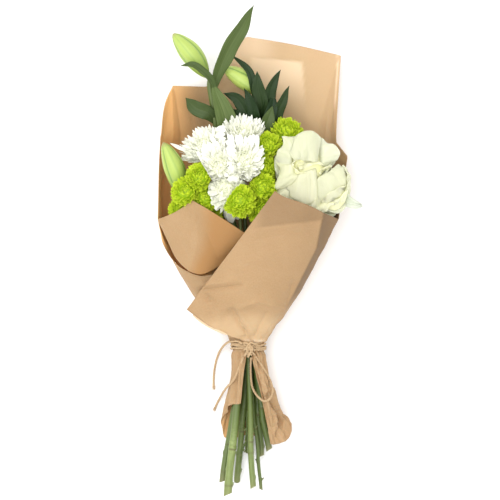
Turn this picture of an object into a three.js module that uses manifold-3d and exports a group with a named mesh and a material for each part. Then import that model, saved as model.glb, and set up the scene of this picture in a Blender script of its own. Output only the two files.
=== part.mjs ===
// A mixed flower bouquet in a kraft paper wrap, tied with jute twine and laid on its back on a table.
// Millimetres. +Z is up from the table, +Y runs from the cut stems to the flowers, +X is to the right
// when the bouquet is seen from above. The origin is on the table, under the middle of the bouquet.
//
// The pieces: one sheet of kraft paper, the twine with its two tails and its bow loop, two roses, two
// sprays of white chrysanthemums (five blooms), two sprays of green button chrysanthemums (eleven
// heads) and two lily stems with three closed buds. Eight stems meet in the neck.

import * as THREE from "three";
import { mergeVertices } from "three/addons/utils/BufferGeometryUtils.js";
import Module from "manifold-3d";

const wasm = await Module();
wasm.setup();
const { Manifold } = wasm;

// ---------------------------------------------------------------- driving dimensions

const GAP = 0.35; // kept between two pieces that touch
const NECK = { x: -13, y: -111, z: 24.5, paper: 17.2 }; // where the tie gathers paper and stems
const PAPER = 0.9; // thickness of the sheet, thicker than real paper so that it is a solid
const PETAL = 0.9;
const LEAF = 1.0;
const TWINE = 2.6; // diameter
const STEM_SIDES = 6;
const STEM_SPACING = 10.6; // from the neck's middle to the ring of seven stems

const rose = { radius: 36, height: 46 };
const whiteMum = { radius: 27, height: 25 };
const greenMum = { radius: 16.5, height: 18 };

// ---------------------------------------------------------------- solids

const vec = (x, y, z) => new THREE.Vector3(x, y, z);
const point = (p) => (p.isVector3 ? p : vec(...p));
const range = (n) => [...Array(n).keys()];
const mix = THREE.MathUtils.lerp;
const degrees = THREE.MathUtils.degToRad;
const smooth = (t) => THREE.MathUtils.smoothstep(t, 0, 1);

// A closed mesh, from a flat list of coordinates and triangles, turned to face out.
function closed(vertProperties, triVerts) {
  const build = (triangles) =>
    new Manifold(
      new wasm.Mesh({
        numProp: 3,
        vertProperties: new Float32Array(vertProperties),
        triVerts: new Uint32Array(triangles),
      }),
    );
  const made = build(triVerts);
  if (made.volume() > 0) return made;
  const turned = [];
  for (let i = 0; i < triVerts.length; i += 3)
    turned.push(triVerts[i], triVerts[i + 2], triVerts[i + 1]);
  return build(turned);
}

function solidOf(geometry) {
  const bare = geometry.clone();
  bare.deleteAttribute("normal");
  bare.deleteAttribute("uv");
  const merged = mergeVertices(bare, 1e-4);
  return closed(merged.attributes.position.array, merged.index.array);
}

// A closed solid through rings of points, each end shut by a fan round its middle.
function skin(rings) {
  const n = rings[0].length;
  const coordinates = rings.flat().flatMap((p) => p.toArray());
  const triangles = [];
  for (const i of range(rings.length - 1))
    for (const j of range(n)) {
      const [a, b] = [i * n + j, i * n + ((j + 1) % n)];
      triangles.push(a, b, b + n, a, b + n, a + n);
    }
  for (const [ring, at, turn] of [
    [rings[0], 0, 1],
    [rings.at(-1), (rings.length - 1) * n, 0],
  ]) {
    const middle = ring.reduce((sum, p) => sum.add(p), vec(0, 0, 0)).divideScalar(n);
    const centre = coordinates.push(...middle.toArray()) / 3 - 1;
    for (const j of range(n)) {
      const [a, b] = [at + j, at + ((j + 1) % n)];
      triangles.push(centre, turn ? b : a, turn ? a : b);
    }
  }
  return closed(coordinates, triangles);
}

// A thin sheet over a grid of points, split into the same triangles on both faces. Where the sheet
// lies on the table its underside is flat. A margin reaches past its rim.
function sheet(grid, thickness, { onTable = false, margin = 0 } = {}) {
  const rows = grid.length;
  const columns = grid[0].length;
  const at = (i, j) =>
    grid[THREE.MathUtils.clamp(i, 0, rows - 1)][THREE.MathUtils.clamp(j, 0, columns - 1)];
  const coordinates = [];
  for (const side of [1, -1])
    for (const i of range(rows))
      for (const j of range(columns)) {
        const across = at(i, j + 1).clone().sub(at(i, j - 1)).normalize();
        const along = at(i + 1, j).clone().sub(at(i - 1, j)).normalize();
        const normal = across.clone().cross(along).normalize();
        const p = at(i, j).clone().addScaledVector(normal, (side * thickness) / 2);
        p.addScaledVector(across, margin * (Number(j === columns - 1) - Number(j === 0)));
        p.addScaledVector(along, margin * (Number(i === rows - 1) - Number(i === 0)));
        if (onTable) {
          const low = at(i, j).z <= PAPER / 2 + 0.05;
          const under = (normal.z > 0) === (side < 0);
          if (low) p.z = under ? 0 : thickness;
          p.z = Math.max(p.z, 0);
        }
        coordinates.push(...p.toArray());
      }
  const id = (face, i, j) => (face * rows + i) * columns + j;
  const triangles = [];
  for (const i of range(rows - 1))
    for (const j of range(columns - 1))
      for (const face of [0, 1]) {
        const [a, b] = [id(face, i, j), id(face, i, j + 1)];
        const [c, d] = [id(face, i + 1, j + 1), id(face, i + 1, j)];
        triangles.push(...(face ? [a, c, b, a, d, c] : [a, b, c, a, c, d]));
      }
  const rim = [
    ...range(columns - 1).map((j) => [0, j]),
    ...range(rows - 1).map((i) => [i, columns - 1]),
    ...range(columns - 1).map((j) => [rows - 1, columns - 1 - j]),
    ...range(rows - 1).map((i) => [rows - 1 - i, 0]),
  ];
  rim.forEach((p, k) => {
    const q = rim[(k + 1) % rim.length];
    const [a, b] = [id(0, ...p), id(0, ...q)];
    const [c, d] = [id(1, ...q), id(1, ...p)];
    triangles.push(a, d, c, a, c, b);
  });
  return closed(coordinates, triangles);
}

// A smooth curve through points, with its points and directions by share of its length.
function route(points) {
  return new THREE.CatmullRomCurve3(points.map(point), false, "centripetal");
}

// A round stalk along a curve. radius is a number or a function of the share of the length.
function stalk(curve, radius, steps, sides = STEM_SIDES) {
  const frames = curve.computeFrenetFrames(steps, false);
  const radiusAt = typeof radius === "function" ? radius : () => radius;
  return skin(
    range(steps + 1).map((i) => {
      const centre = curve.getPointAt(i / steps);
      return range(sides).map((k) => {
        const turn = (k / sides) * 2 * Math.PI;
        return centre
          .clone()
          .addScaledVector(frames.normals[i], Math.cos(turn) * radiusAt(i / steps))
          .addScaledVector(frames.binormals[i], Math.sin(turn) * radiusAt(i / steps));
      });
    }),
  );
}

// A leaf along a curve: half its greatest width, how far its sides fold up, and where it is widest.
function leaf(curve, facing, halfWidth, form = {}) {
  const { fold = 0.3, widest = 0.45, steps = 6, base = 0.35, swell = 0 } = form;
  const grid = range(steps + 1).map((i) => {
    const t = i / steps;
    const share = t < widest ? mix(base, 1, Math.sin((t / widest) * (Math.PI / 2))) :
      Math.cos(((t - widest) / (1 - widest)) ** 1.4 * (Math.PI / 2));
    const width = Math.max(share * halfWidth, 0.7);
    const centre = curve.getPointAt(t);
    const along = curve.getTangentAt(t);
    const side = point(facing).clone().cross(along).normalize();
    const up = along.clone().cross(side);
    return [-1, 0, 1].map((a) =>
      centre.clone().addScaledVector(side, -a * width).addScaledVector(up, Math.abs(a) * fold * width),
    );
  });
  return sheet(grid, LEAF + 2 * swell, { margin: swell });
}

// The frame of a flower head: its own +Z looks along facing, and its base lies behind its middle.
function frameOf({ middle, facing, spin = 0 }, height) {
  const axis = point(facing).clone().normalize();
  const turn = new THREE.Quaternion()
    .setFromUnitVectors(vec(0, 0, 1), axis)
    .multiply(new THREE.Quaternion().setFromAxisAngle(vec(0, 0, 1), degrees(spin)));
  const base = point(middle).clone().addScaledVector(axis, -height / 2);
  return { base, axis, matrix: new THREE.Matrix4().compose(base, turn, vec(1, 1, 1)) };
}

const placed = (solid, matrix) => solid.transform(matrix.elements);
const fused = (solids) => Manifold.union(solids).simplify(0.02);
const largest = (solid) =>
  solid.simplify(0.02).decompose().reduce((a, b) => (a.volume() > b.volume() ? a : b));

// ---------------------------------------------------------------- the paper wrap

// The sheet goes once round the stems: up the left front, round the back, and over the right front.
// Each line is one meridian from the neck to the sheet's edge: low on the cone, half way up it, at its
// mouth, above the mouth, and on the edge. The last is the free edge that lies across the front.
const coneMeridians = [
  [[-23, -86, 48], [-32, -56, 58], [-43, -39, 63], [-51, -31, 65], [-55, -27, 66]], // left free edge
  [[-44, -78, 45], [-55, -52, 55], [-63, -38, 59], [-69, -31, 60], [-71, -28, 61]],
  [[-60, -71, 38], [-77, -45, 44], [-88, -28, 48], [-92, -20, 50], [-94, -16, 51]],
  [[-70, -63, 26], [-93, -24, 33], [-104, -6, 40], [-109, 5, 43], [-111, 9, 45]], // left side
  [[-66, -61, 17], [-100, -13, 24], [-112, 15, 38], [-116, 29, 52], [-117, 37, 58]],
  [[-62, -59, 9], [-93, -7, 11], [-110, 34, 26], [-117, 82, 46], [-115, 117, 54]],
  [[-55, -58, 4], [-82, -5, 3], [-98, 42, 8], [-109, 118, 28], [-112, 170, 40]],
  [[-45, -58, 1], [-65, -5, 0], [-77, 42, 0], [-91, 119, 8], [-101, 193, 28]], // left top corner
  [[-32, -58, 0], [-44, -5, 0], [-54, 42, 0], [-61, 119, 0], [-62, 193, 12]],
  [[-16, -58, 0], [-19, -5, 0], [-23, 42, 0], [-23, 119, 0], [-16, 251, 20]], // back, tall corner
  [[3, -58, 0], [6, -5, 0], [10, 42, 0], [19, 119, 0], [38, 243, 9]],
  [[18, -58, 3], [31, -5, 2], [43, 42, 1], [62, 119, 5], [95, 229, 20]], // right top corner
  [[31, -58, 11], [50, -5, 11], [66, 42, 12], [80, 101, 24], [88, 127, 34]],
  [[39, -57, 24], [62, -8, 28], [82, 34, 34], [94, 77, 42], [100, 110, 48]], // right side
  [[42, -59, 40], [66, -13, 48], [84, 22, 58], [88, 31, 62], [90, 37, 66]],
  [[33, -61, 60], [51, -13, 76], [66, 26, 84], [73, 40, 88], [75, 43, 90]],
  [[12, -65, 70], [27, -12, 92], [43, 33, 102], [50, 49, 106], [52, 53, 107]], // right front
  [[-16, -72, 68], [-11, -22, 92], [14, 28, 106], [22, 53, 110], [26, 62, 111]],
  [[-52, -90, 52], [-84, -67, 58], [-50, -22, 84], [-16, 23, 100], [17, 68, 112]], // right free edge
];

// Below the tie the same meridians flare into a skirt: half way down it and on its hem.
const skirtMeridians = [
  [[-18, -138, 45], [-24, -164, 41]], // left flap's inner edge
  [[-24, -138, 43], [-27, -165, 39]],
  [[-29, -139, 37], [-32, -166, 32]],
  [[-32, -141, 28], [-36, -170, 23]],
  [[-32, -143, 19], [-39, -187, 15]],
  [[-30, -145, 12], [-44, -208, 8]],
  [[-28, -147, 7], [-39, -220, 3]],
  [[-23, -149, 4], [-31, -221, 1]],
  [[-18, -149, 3], [-23, -218, 0.5]],
  [[-12, -149, 3], [-15, -219, 0.5]], // back
  [[-7, -149, 3], [-5, -218, 0.5]],
  [[-2, -149, 5], [4, -218, 1]],
  [[2, -148, 9], [14, -217, 4]],
  [[7, -147, 16], [24, -216, 11]],
  [[11, -146, 25], [33, -211, 21]],
  [[10, -146, 35], [37, -213, 32]],
  [[5, -144, 43], [29, -221, 38]],
  [[0, -142, 46], [22, -224, 40]],
  [[-5, -140, 46], [15, -224, 38]], // right flap's inner edge
];

// The corner of the sheet folded over the left front, from its lower edge up to its top edge.
const foldedCorner = [
  [[-94, -9, 68], [-89, 17, 82], [-94, 49, 78]],
  [[-80, -22, 72], [-70, 13, 90], [-77, 58, 86]],
  [[-62, -24, 73], [-52, 6, 86], [-52, 43, 91]],
  [[-41, -14, 72], [-31, 3, 80], [-15, 19, 86]], // tucked under the right front
];

const CONE_ROWS = [0, 0.15, 0.34, 0.56, 0.78, 1]; // shares of the way from neck to edge
const SKIRT_ROWS = [1, 0.5, 0]; // shares of the way from neck to hem
const NECK_HALF = 4.6; // half the length of the neck under the twine
const PLEATS = 9;
const PLEAT_DEPTH = 1.2;

// The sheet passes the neck as a ring that is open by a slit at the front, gathered in pleats.
function neckPoint(share, along) {
  const turn = degrees(mix(176, -176, share));
  const radius = NECK.paper + PLEAT_DEPTH * Math.sin(share * PLEATS * 2 * Math.PI);
  const [across, up] = [-Math.sin(turn) * radius, -Math.cos(turn) * radius];
  return vec(NECK.x + across, NECK.y + along, NECK.z + up);
}

function wrapGrid() {
  const last = coneMeridians.length - 1;
  const row = (table, along, share) => {
    const points = table.map((meridian, k) =>
      route([neckPoint(k / last, along), ...meridian]).getPointAt(share),
    );
    const curve = route(points);
    return range(2 * last + 1).map((k) => {
      const place = k / (2 * last);
      const p = share ? curve.getPoint(place) : neckPoint(place, along);
      return p.setZ(Math.max(p.z, PAPER / 2));
    });
  };
  return [
    ...SKIRT_ROWS.map((share) => row(skirtMeridians, -NECK_HALF, share)),
    ...CONE_ROWS.map((share) => row(coneMeridians, NECK_HALF, share)),
  ];
}

// The folded corner starts along the sheet's edge, from FOLD_START to FOLD_END of its columns.
const [FOLD_START, FOLD_END] = [7, 9];

function cornerGrid() {
  const rim = route(wrapGrid().at(-1).slice(FOLD_START, FOLD_END + 1));
  return range(4).map((i) => {
    const folded = foldedCorner.map((points) => route(points).getPoint(i / 3));
    const line = route([rim.getPoint(i / 3), ...folded]);
    return range(9).map((k) => line.getPoint(k / 8));
  });
}

function paperWrap(thickness, margin) {
  return Manifold.union([
    sheet(wrapGrid(), thickness, { onTable: true, margin }),
    sheet(cornerGrid(), thickness, { margin }),
  ]);
}

// ---------------------------------------------------------------- flower heads, each with +Z as its axis

// Rose petals in whorls from the heart outwards. A profile gives the petal's distance from the axis and
// its height at its foot, belly and rim, as shares of the rose's radius and height.
const roseWhorls = [
  { count: 3, first: 20, spread: 58, profile: [[0.3, 0.3], [0.38, 0.75], [0.24, 1.05]] },
  { count: 3, first: 80, spread: 66, profile: [[0.34, 0.2], [0.52, 0.66], [0.56, 0.99]] },
  { count: 4, first: 30, spread: 55, profile: [[0.36, 0.12], [0.62, 0.5], [0.72, 0.8], [0.88, 0.86]] },
  { count: 4, first: 75, spread: 55, profile: [[0.36, 0.1], [0.72, 0.36], [0.9, 0.6], [1.06, 0.57]] },
];
const ROSE_HEART = [[0, 0], [0.22, 0], [0.42, 0.1], [0.47, 0.3], [0.34, 0.62], [0.18, 0.9], [0, 0.97]];

// A petal is a cupped blade whose foot is inside the heart. One side laps over the next petal.
function rosePetal(turn, { spread, profile }) {
  const columns = profile.length > 3 ? [-1, -0.38, 0.38, 1] : [-1, 0, 1];
  const grid = profile.map(([reach, height], row) => {
    const share = row / (profile.length - 1);
    return columns.map((a) => {
      const angle = turn + degrees(spread * a * mix(0.55, 1, smooth(share * 1.5)));
      const radius = reach * rose.radius * (1 + 0.07 * a - 0.03 * a * a);
      const up = (height - 0.16 * a * a * share) * rose.height;
      return vec(Math.cos(angle) * radius, Math.sin(angle) * radius, up);
    });
  });
  return sheet(grid, PETAL);
}

function roseBloom() {
  const profile = ROSE_HEART.map(([r, z]) => new THREE.Vector2(r * rose.radius, z * rose.height));
  const petals = roseWhorls.flatMap((whorl) =>
    range(whorl.count).map((k) => rosePetal(degrees(whorl.first + (k * 360) / whorl.count), whorl)),
  );
  return fused([solidOf(new THREE.LatheGeometry(profile, 8).rotateX(Math.PI / 2)), ...petals]);
}

// A closed solid through rings of points to a tip.
function spike(rings, tip) {
  const n = rings[0].length;
  const coordinates = [...rings.flat(), tip].flatMap((p) => p.toArray());
  const triangles = range(n - 2).flatMap((j) => [0, j + 2, j + 1]);
  for (const i of range(rings.length))
    for (const j of range(n)) {
      const [a, b] = [i * n + j, i * n + ((j + 1) % n)];
      if (i === rings.length - 1) triangles.push(a, b, rings.length * n);
      else triangles.push(a, b, b + n, a, b + n, a + n);
    }
  return closed(coordinates, triangles);
}

// A ball of triangles through points set over it by the golden angle.
const GOLDEN_ANGLE = Math.PI * (3 - Math.sqrt(5));

function goldenBall(count) {
  const spread = range(count).map((k) => {
    const height = 1 - ((k + 0.5) * 2) / count;
    const ring = Math.sqrt(1 - height * height);
    return [Math.cos(k * GOLDEN_ANGLE) * ring, Math.sin(k * GOLDEN_ANGLE) * ring, height];
  });
  const { vertProperties, triVerts } = Manifold.hull(spread).getMesh();
  const points = range(vertProperties.length / 3).map((k) =>
    vec(...vertProperties.subarray(3 * k, 3 * k + 3)),
  );
  const faces = range(triVerts.length / 3).map((k) => [...triVerts.subarray(3 * k, 3 * k + 3)]);
  return { points, faces };
}

// White chrysanthemum: a small ball whose every upper face is drawn out into a floret, which ends in
// a thin keeled tip. Florets bend up towards the axis, the outer ones less. Sizes are shares of the radius.
const WHITE = { seeds: 42, ball: 0.5, flat: 0.8, lowest: -0.25, tipWidth: 0.27, tipKeel: 0.07, lift: 0.3 };

function whiteBloom() {
  const { radius, height } = whiteMum;
  const { points, faces } = goldenBall(WHITE.seeds);
  const body = points.map((p) => vec(p.x, p.y, p.z * WHITE.flat).multiplyScalar(WHITE.ball * radius));
  const triangles = [];
  faces.forEach((face, k) => {
    const middle = face.reduce((sum, i) => sum.add(points[i]), vec(0, 0, 0)).normalize();
    if (middle.z < WHITE.lowest) return triangles.push(...face);
    const reach = (k % 2 ? 0.88 : 1) * mix(1, 0.84, Math.max(middle.z, 0)) * radius;
    const out = middle.clone().add(vec(0, 0, WHITE.lift * (1 - middle.z))).normalize();
    const side = vec(0, 0, 1).cross(out).add(vec(1e-3, 0, 0)).normalize();
    const under = side.clone().cross(out);
    const tip = [
      out.clone().multiplyScalar(reach).addScaledVector(side, (WHITE.tipWidth * radius) / 2),
      out.clone().multiplyScalar(reach).addScaledVector(side, (-WHITE.tipWidth * radius) / 2),
      out.clone().multiplyScalar(reach * 0.96).addScaledVector(under, WHITE.tipKeel * radius),
    ];
    const turned = (t) => [0, 1, 2].map((c) => tip[(c + t) % 3]);
    const apart = (t) => turned(t).reduce((sum, p, c) => sum + p.distanceTo(body[face[c]]), 0);
    const winding = vec(0, 0, 0).subVectors(tip[1], tip[0]).cross(tip[2].clone().sub(tip[0])).dot(out);
    if (winding < 0) tip.reverse();
    const turn = [0, 1, 2].reduce((best, t) => (apart(t) < apart(best) ? t : best), 0);
    const first = body.push(...turned(turn)) - 3;
    for (const c of [0, 1, 2]) {
      const [p, q] = [face[c], face[(c + 1) % 3]];
      const [r, t] = [first + ((c + 1) % 3), first + c];
      triangles.push(p, q, r, p, r, t);
    }
    triangles.push(first, first + 1, first + 2);
  });
  const head = closed(body.flatMap((p) => p.toArray()), triangles);
  return head.translate([0, 0, height / 2]).trimByPlane([0, 0, 1], 0);
}

// Green button chrysanthemum: a ball of florets, each a blunt point, with a dip between every three.
const GREEN = { florets: 28, dip: 0.78, flat: 0.85 };

function greenBloom() {
  const { radius, height } = greenMum;
  const { points, faces } = goldenBall(GREEN.florets);
  const triangles = faces.flatMap(([a, b, c]) => {
    const dip = points[a].clone().add(points[b]).add(points[c]).normalize().multiplyScalar(GREEN.dip);
    const d = points.push(dip) - 1;
    return [a, b, d, b, c, d, c, a, d];
  });
  const head = closed(points.flatMap((p) => [p.x, p.y, p.z * GREEN.flat]), triangles);
  return head.scale([radius, radius, radius]).translate([0, 0, height / 2]).trimByPlane([0, 0, 1], 0);
}

// A closed lily bud from its foot to its tip: a long body with three ribs.
function lilyBud(length, radius) {
  const stations = [[0, 0.3], [0.12, 0.62], [0.35, 0.95], [0.55, 1], [0.78, 0.74], [0.93, 0.4], [1, 0.14]];
  return skin(
    stations.map(([z, r]) =>
      range(9).map((k) => {
        const turn = (k / 9) * 2 * Math.PI;
        const rib = 1 + 0.1 * Math.cos(3 * turn);
        return vec(Math.cos(turn) * r * rib * radius, Math.sin(turn) * r * rib * radius, z * length);
      }),
    ),
  );
}

// ---------------------------------------------------------------- where each head stands

// The loose pointed petal at the foot of the lower rose.
const GUARD_PETAL = { rib: [[82, 63, 56], [99, 58, 68], [117.5, 53, 70]], halfWidth: 12 };

const roses = [
  { name: "rose_1", middle: [49, 98, 79], facing: [-0.1, 0.24, 0.97], spin: 0, scale: 1.1 },
  {
    name: "rose_2",
    middle: [81, 68, 70],
    facing: [0.42, 0.1, 0.9],
    spin: 40,
    scale: 0.88,
    guard: GUARD_PETAL,
  },
];

const whiteSprays = [
  {
    name: "white_spray_1",
    heads: [
      { middle: [-19, 133, 62], facing: [0.1, 0.75, 0.66], spin: 5 },
      { middle: [-62, 120, 60], facing: [-0.35, 0.7, 0.62], spin: 12 },
    ],
  },
  {
    name: "white_spray_2",
    heads: [
      { middle: [-46, 97, 86], facing: [-0.1, 0.3, 0.95], spin: 0 },
      { middle: [-18, 103, 84], facing: [0.2, 0.35, 0.92], spin: 9 },
      { middle: [-39, 70, 84], facing: [0.0, 0.2, 0.97], spin: 20 },
    ],
  },
];

const greenSprays = [
  {
    name: "green_spray_1",
    heads: [
      { middle: [-68, 84, 86], facing: [-0.1, 0.35, 0.93] },
      { middle: [-84, 68, 78], facing: [-0.3, 0.2, 0.93] },
      { middle: [-62, 62, 76], facing: [0.1, 0.2, 0.97] },
      { middle: [-92, 48, 62], facing: [-0.3, 0.1, 0.9], scale: 0.75 },
      { middle: [-55, 40, 66], facing: [0.1, 0.1, 0.97], scale: 0.7 },
    ],
  },
  {
    name: "green_spray_2",
    heads: [
      { middle: [9, 121, 66], facing: [0.0, 0.5, 0.86] },
      { middle: [36, 142, 46], facing: [0.1, 0.6, 0.75], scale: 1.1 },
      { middle: [4, 95, 72], facing: [0.0, 0.35, 0.93] },
      { middle: [4, 73, 84], facing: [0.1, 0.25, 0.95] },
      { middle: [-23, 58, 92], facing: [-0.1, 0.2, 0.97], scale: 1.1 },
      { middle: [4, 46, 80], facing: [0.1, 0.1, 0.98] },
    ],
  },
];

// Buds lie from foot to tip.
const buds = [
  { name: "lily_bud_1", foot: [-61, 203, 46], tip: [-100, 251, 53], radius: 12.5 },
  { name: "lily_bud_2", foot: [-2, 178, 33], tip: [-41, 215, 36], radius: 11 },
  { name: "lily_bud_3", foot: [-88, 62, 52], tip: [-110, 124, 76], radius: 12 },
];

// ---------------------------------------------------------------- stems

// Each stem runs from its cut end through its place in the neck (degrees round the ring, from +X
// towards +Z, or null for the one in the middle) and a guide point inside the cone.
const stems = {
  rose_1: { end: [11, -233, 20], ring: 39, guide: [16, 0, 44], radius: 3.7, top: 3.3 },
  rose_2: { end: [2, -242, 10], ring: 347, guide: [34, 0, 36], radius: 3.8, top: 3.2 },
  green_spray_2: { end: [-8, -276, 29], ring: 90, guide: [-8, 0, 56], radius: 3.5, top: 2.6 },
  white_spray_2: { end: [-37, -284, 33], ring: 141, guide: [-24, 0, 52], radius: 4.7, top: 2.8 },
  green_spray_1: { end: [-43, -269, 21], ring: 193, guide: [-44, -8, 46], radius: 3.9, top: 2.6 },
  lily_1: { end: [-26, -271, 11], ring: 244, guide: [-40, 0, 26], radius: 3.7, top: 3.4 },
  lily_2: { end: [-14, -236, 7], ring: 296, guide: [-6, 0, 18], radius: 3.6, top: 3.4 },
  white_spray_1: { end: [0, -274, 17], ring: null, guide: [-16, 0, 34], radius: 2.8, top: 2.6 },
};

function neckPlace(ring) {
  if (ring === null) return vec(NECK.x, NECK.y, NECK.z);
  const turn = degrees(ring);
  return vec(NECK.x + Math.cos(turn) * STEM_SPACING, NECK.y, NECK.z + Math.sin(turn) * STEM_SPACING);
}

function stemRoute(stem, tops) {
  const neck = neckPlace(stem.ring);
  return route([stem.end, neck, stem.guide, ...tops]);
}

function stemStalk(stem, tops, swell = 0) {
  const thickness = (t) => mix(stem.radius, stem.top, t) + swell;
  return stalk(stemRoute(stem, tops), thickness, 11);
}

// The green cup under a bloom, whose flat top carries the bloom.
function cup(head, height, radius, depth, neckRadius, swell) {
  const { matrix } = frameOf(head, height);
  const [low, top] = [-depth - swell, swell - GAP];
  const profile = [[0, low], [neckRadius + swell, low], [radius + swell, top], [0, top]];
  const lathe = new THREE.LatheGeometry(profile.map((p) => new THREE.Vector2(...p)), 6);
  return placed(solidOf(lathe.rotateX(Math.PI / 2)), matrix);
}

const ROSE_CUP = { radius: 7, depth: 9 };
const WHITE_CUP = { radius: 7, depth: 5 };
const GREEN_CUP = { radius: 5.5, depth: 4 };
const CUP_BITE = 1.5; // how far a stalk runs into its cup

// The last two points of a stalk, which meets its cup along the cup's own axis.
function approach(head, height, depth, run) {
  const { base, axis } = frameOf(head, height);
  const foot = base.clone().addScaledVector(axis, CUP_BITE - depth);
  return [foot.clone().addScaledVector(axis, -run), foot];
}

// Five narrow sepals, turned down round the stem under a rose.
function sepals(head, height, swell) {
  const { matrix } = frameOf(head, height);
  return range(5).map((k) => {
    const turn = (k / 5) * 2 * Math.PI;
    const out = vec(Math.cos(turn), Math.sin(turn), 0);
    const side = vec(-Math.sin(turn), Math.cos(turn), 0);
    const at = (r, z, w) => out.clone().multiplyScalar(r).setZ(z).addScaledVector(side, w);
    const ring = (r, z, w) => [
      at(r, z + swell, w + swell),
      at(r, z + swell, -w - swell),
      at(r - 1, z - 2 - swell, 0),
    ];
    return placed(spike([ring(4, -5, 2), ring(15, -7, 3.2)], at(25 + swell, -15, 0)), matrix);
  });
}

function scaledHeight(kind, head) {
  return kind.height * (head.scale ?? 1);
}

// The stem of a rose, with its sepals.
function roseStem(head, swell) {
  const height = scaledHeight(rose, head);
  const stem = stems[head.name];
  const run = stemStalk(stem, approach(head, height, ROSE_CUP.depth, 22), swell);
  const hip = cup(head, height, ROSE_CUP.radius, ROSE_CUP.depth, stem.top, swell);
  return fused([run, hip, ...sepals(head, height, swell)]);
}

// The stem of a spray: one main stalk to the first head, and a side stalk to each other head.
function sprayStem(spray, kind, cupSize, swell) {
  const stem = stems[spray.name];
  const tops = spray.heads.map((head) => approach(head, scaledHeight(kind, head), cupSize.depth, 12));
  const main = stemRoute(stem, tops[0]);
  const stalks = [stemStalk(stem, tops[0], swell)];
  tops.slice(1).forEach((top, k) => {
    const fork = main.getPointAt(0.62 + 0.035 * k);
    const along = main.getTangentAt(0.62 + 0.035 * k);
    const side = route([fork, fork.clone().addScaledVector(along, 12), ...top]);
    stalks.push(stalk(side, (t) => mix(2.2, 1.8, t) + swell, 5, 4));
  });
  const cups = spray.heads.map((head) =>
    cup(head, scaledHeight(kind, head), cupSize.radius * (head.scale ?? 1), cupSize.depth, 2, swell),
  );
  return fused([...stalks, ...cups]);
}

// ---------------------------------------------------------------- lilies

// A lily's leaves: the points of each midrib, its half width and the way its upper face looks.
const lilies = {
  lily_1: {
    tops: [[-46, 110, 30], [-54, 168, 40], [-58, 196, 45]],
    leaves: [
      // the broad leaf, whose narrow tip curls over the foot of the bud
      {
        rib: [
          [-45, 112, 31], [-43, 140, 45], [-48, 168, 51], [-54, 190, 56],
          [-63, 205, 66], [-77, 215, 69], [-90, 213, 64],
        ],
        width: 12.5,
        up: [0.1, 0.1, 1],
        widest: 0.2,
      },
      // the tall leaf, the bouquet's furthest point
      {
        rib: [[-55.5, 180, 41.5], [-50, 200, 50], [-36, 232, 60], [-19, 260, 66], [-7, 283, 60]],
        width: 10,
        up: [0.5, -0.3, 1],
        base: 0.3,
      },
      {
        rib: [[-50, 150, 37], [-60, 160, 44], [-74, 166, 42], [-86, 178, 36]],
        width: 9,
        up: [0, -0.2, 1],
      },
    ],
  },
  lily_2: {
    tops: [[-2, 100, 26], [0, 150, 30], [2, 168, 32]],
    leaves: [
      { rib: [[0, 150, 31], [4, 168, 44], [0, 190, 54], [-3, 206, 58]], width: 9, up: [0, -0.4, 1] },
      { rib: [[0, 146, 30.5], [10, 170, 44], [13, 190, 52], [24, 209, 56]], width: 8, up: [0.2, -0.4, 1] },
      { rib: [[-1, 134, 29], [16, 152, 40], [26, 172, 46], [36, 192, 50]], width: 8, up: [0.4, -0.2, 1] },
      { rib: [[0, 140, 29], [-14, 156, 44], [-26, 174, 48], [-42, 184, 44]], width: 9, up: [-0.3, 0, 1] },
      { rib: [[-1, 128, 28], [-14, 140, 40], [-26, 152, 44], [-34, 166, 42]], width: 9, up: [-0.2, 0, 1] },
      { rib: [[-1, 118, 27.5], [9, 134, 42], [16, 152, 48], [18, 166, 50]], width: 11, up: [0.1, -0.2, 1] },
      { rib: [[1, 160, 31.5], [-8, 186, 44], [-14, 208, 46], [-33, 228, 42]], width: 4.5, up: [0, 0, 1] },
    ],
  },
};

function budMatrix({ foot, tip }) {
  const axis = point(tip).clone().sub(point(foot)).normalize();
  const turn = new THREE.Quaternion().setFromUnitVectors(vec(0, 0, 1), axis);
  return new THREE.Matrix4().compose(point(foot), turn, vec(1, 1, 1));
}

function budSolid(bud, swell) {
  const length = point(bud.tip).distanceTo(point(bud.foot));
  const shape = lilyBud(length + 2 * swell, bud.radius + swell).translate([0, 0, -swell]);
  return placed(shape, budMatrix(bud));
}

// A stalk ends just short of the bud that it carries.
function budFoot(bud, back) {
  const axis = point(bud.tip).clone().sub(point(bud.foot)).normalize();
  return point(bud.foot).clone().addScaledVector(axis, -back);
}

function lilyStem(name, bud, sideBud, swell) {
  const stem = stems[name];
  const { tops, leaves } = lilies[name];
  const ends = [...tops, budFoot(bud, 8), budFoot(bud, GAP)];
  const main = stemRoute(stem, ends);
  const parts = [stemStalk(stem, ends, swell)];
  if (sideBud) {
    const fork = main.getPointAt(0.55);
    const ahead = fork.clone().addScaledVector(main.getTangentAt(0.55), 14);
    const side = route([fork, ahead, budFoot(sideBud, 12), budFoot(sideBud, GAP)]);
    parts.push(stalk(side, 2.6 + swell, 6));
  }
  for (const { rib, width, up, widest, base } of leaves) {
    const steps = rib.length > 4 ? 6 : 4;
    parts.push(leaf(route(rib), up, width, { widest, base, steps, fold: 0.22, swell }));
  }
  return fused(parts);
}

// ---------------------------------------------------------------- the twine

// Three turns round the neck and the knot on the front, as one body.
const TWINE_RING = NECK.paper + PLEAT_DEPTH + PAPER / 2 + GAP + TWINE / 2 + 0.45;
const TWINE_TURNS = 3;
const TURN_STEPS = 12;
const TWINE_PITCH = TWINE + 0.1;
const KNOT = vec(NECK.x + 1, NECK.y - 2, NECK.z + TWINE_RING + 0.8);
const knotStrands = [
  [[-6, 5, -0.8], [-1, 0, 2.2], [6, -7, -0.4]],
  [[6, 4, -0.8], [1, 0, 3.2], [-5, -7, -0.2]],
];

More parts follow.
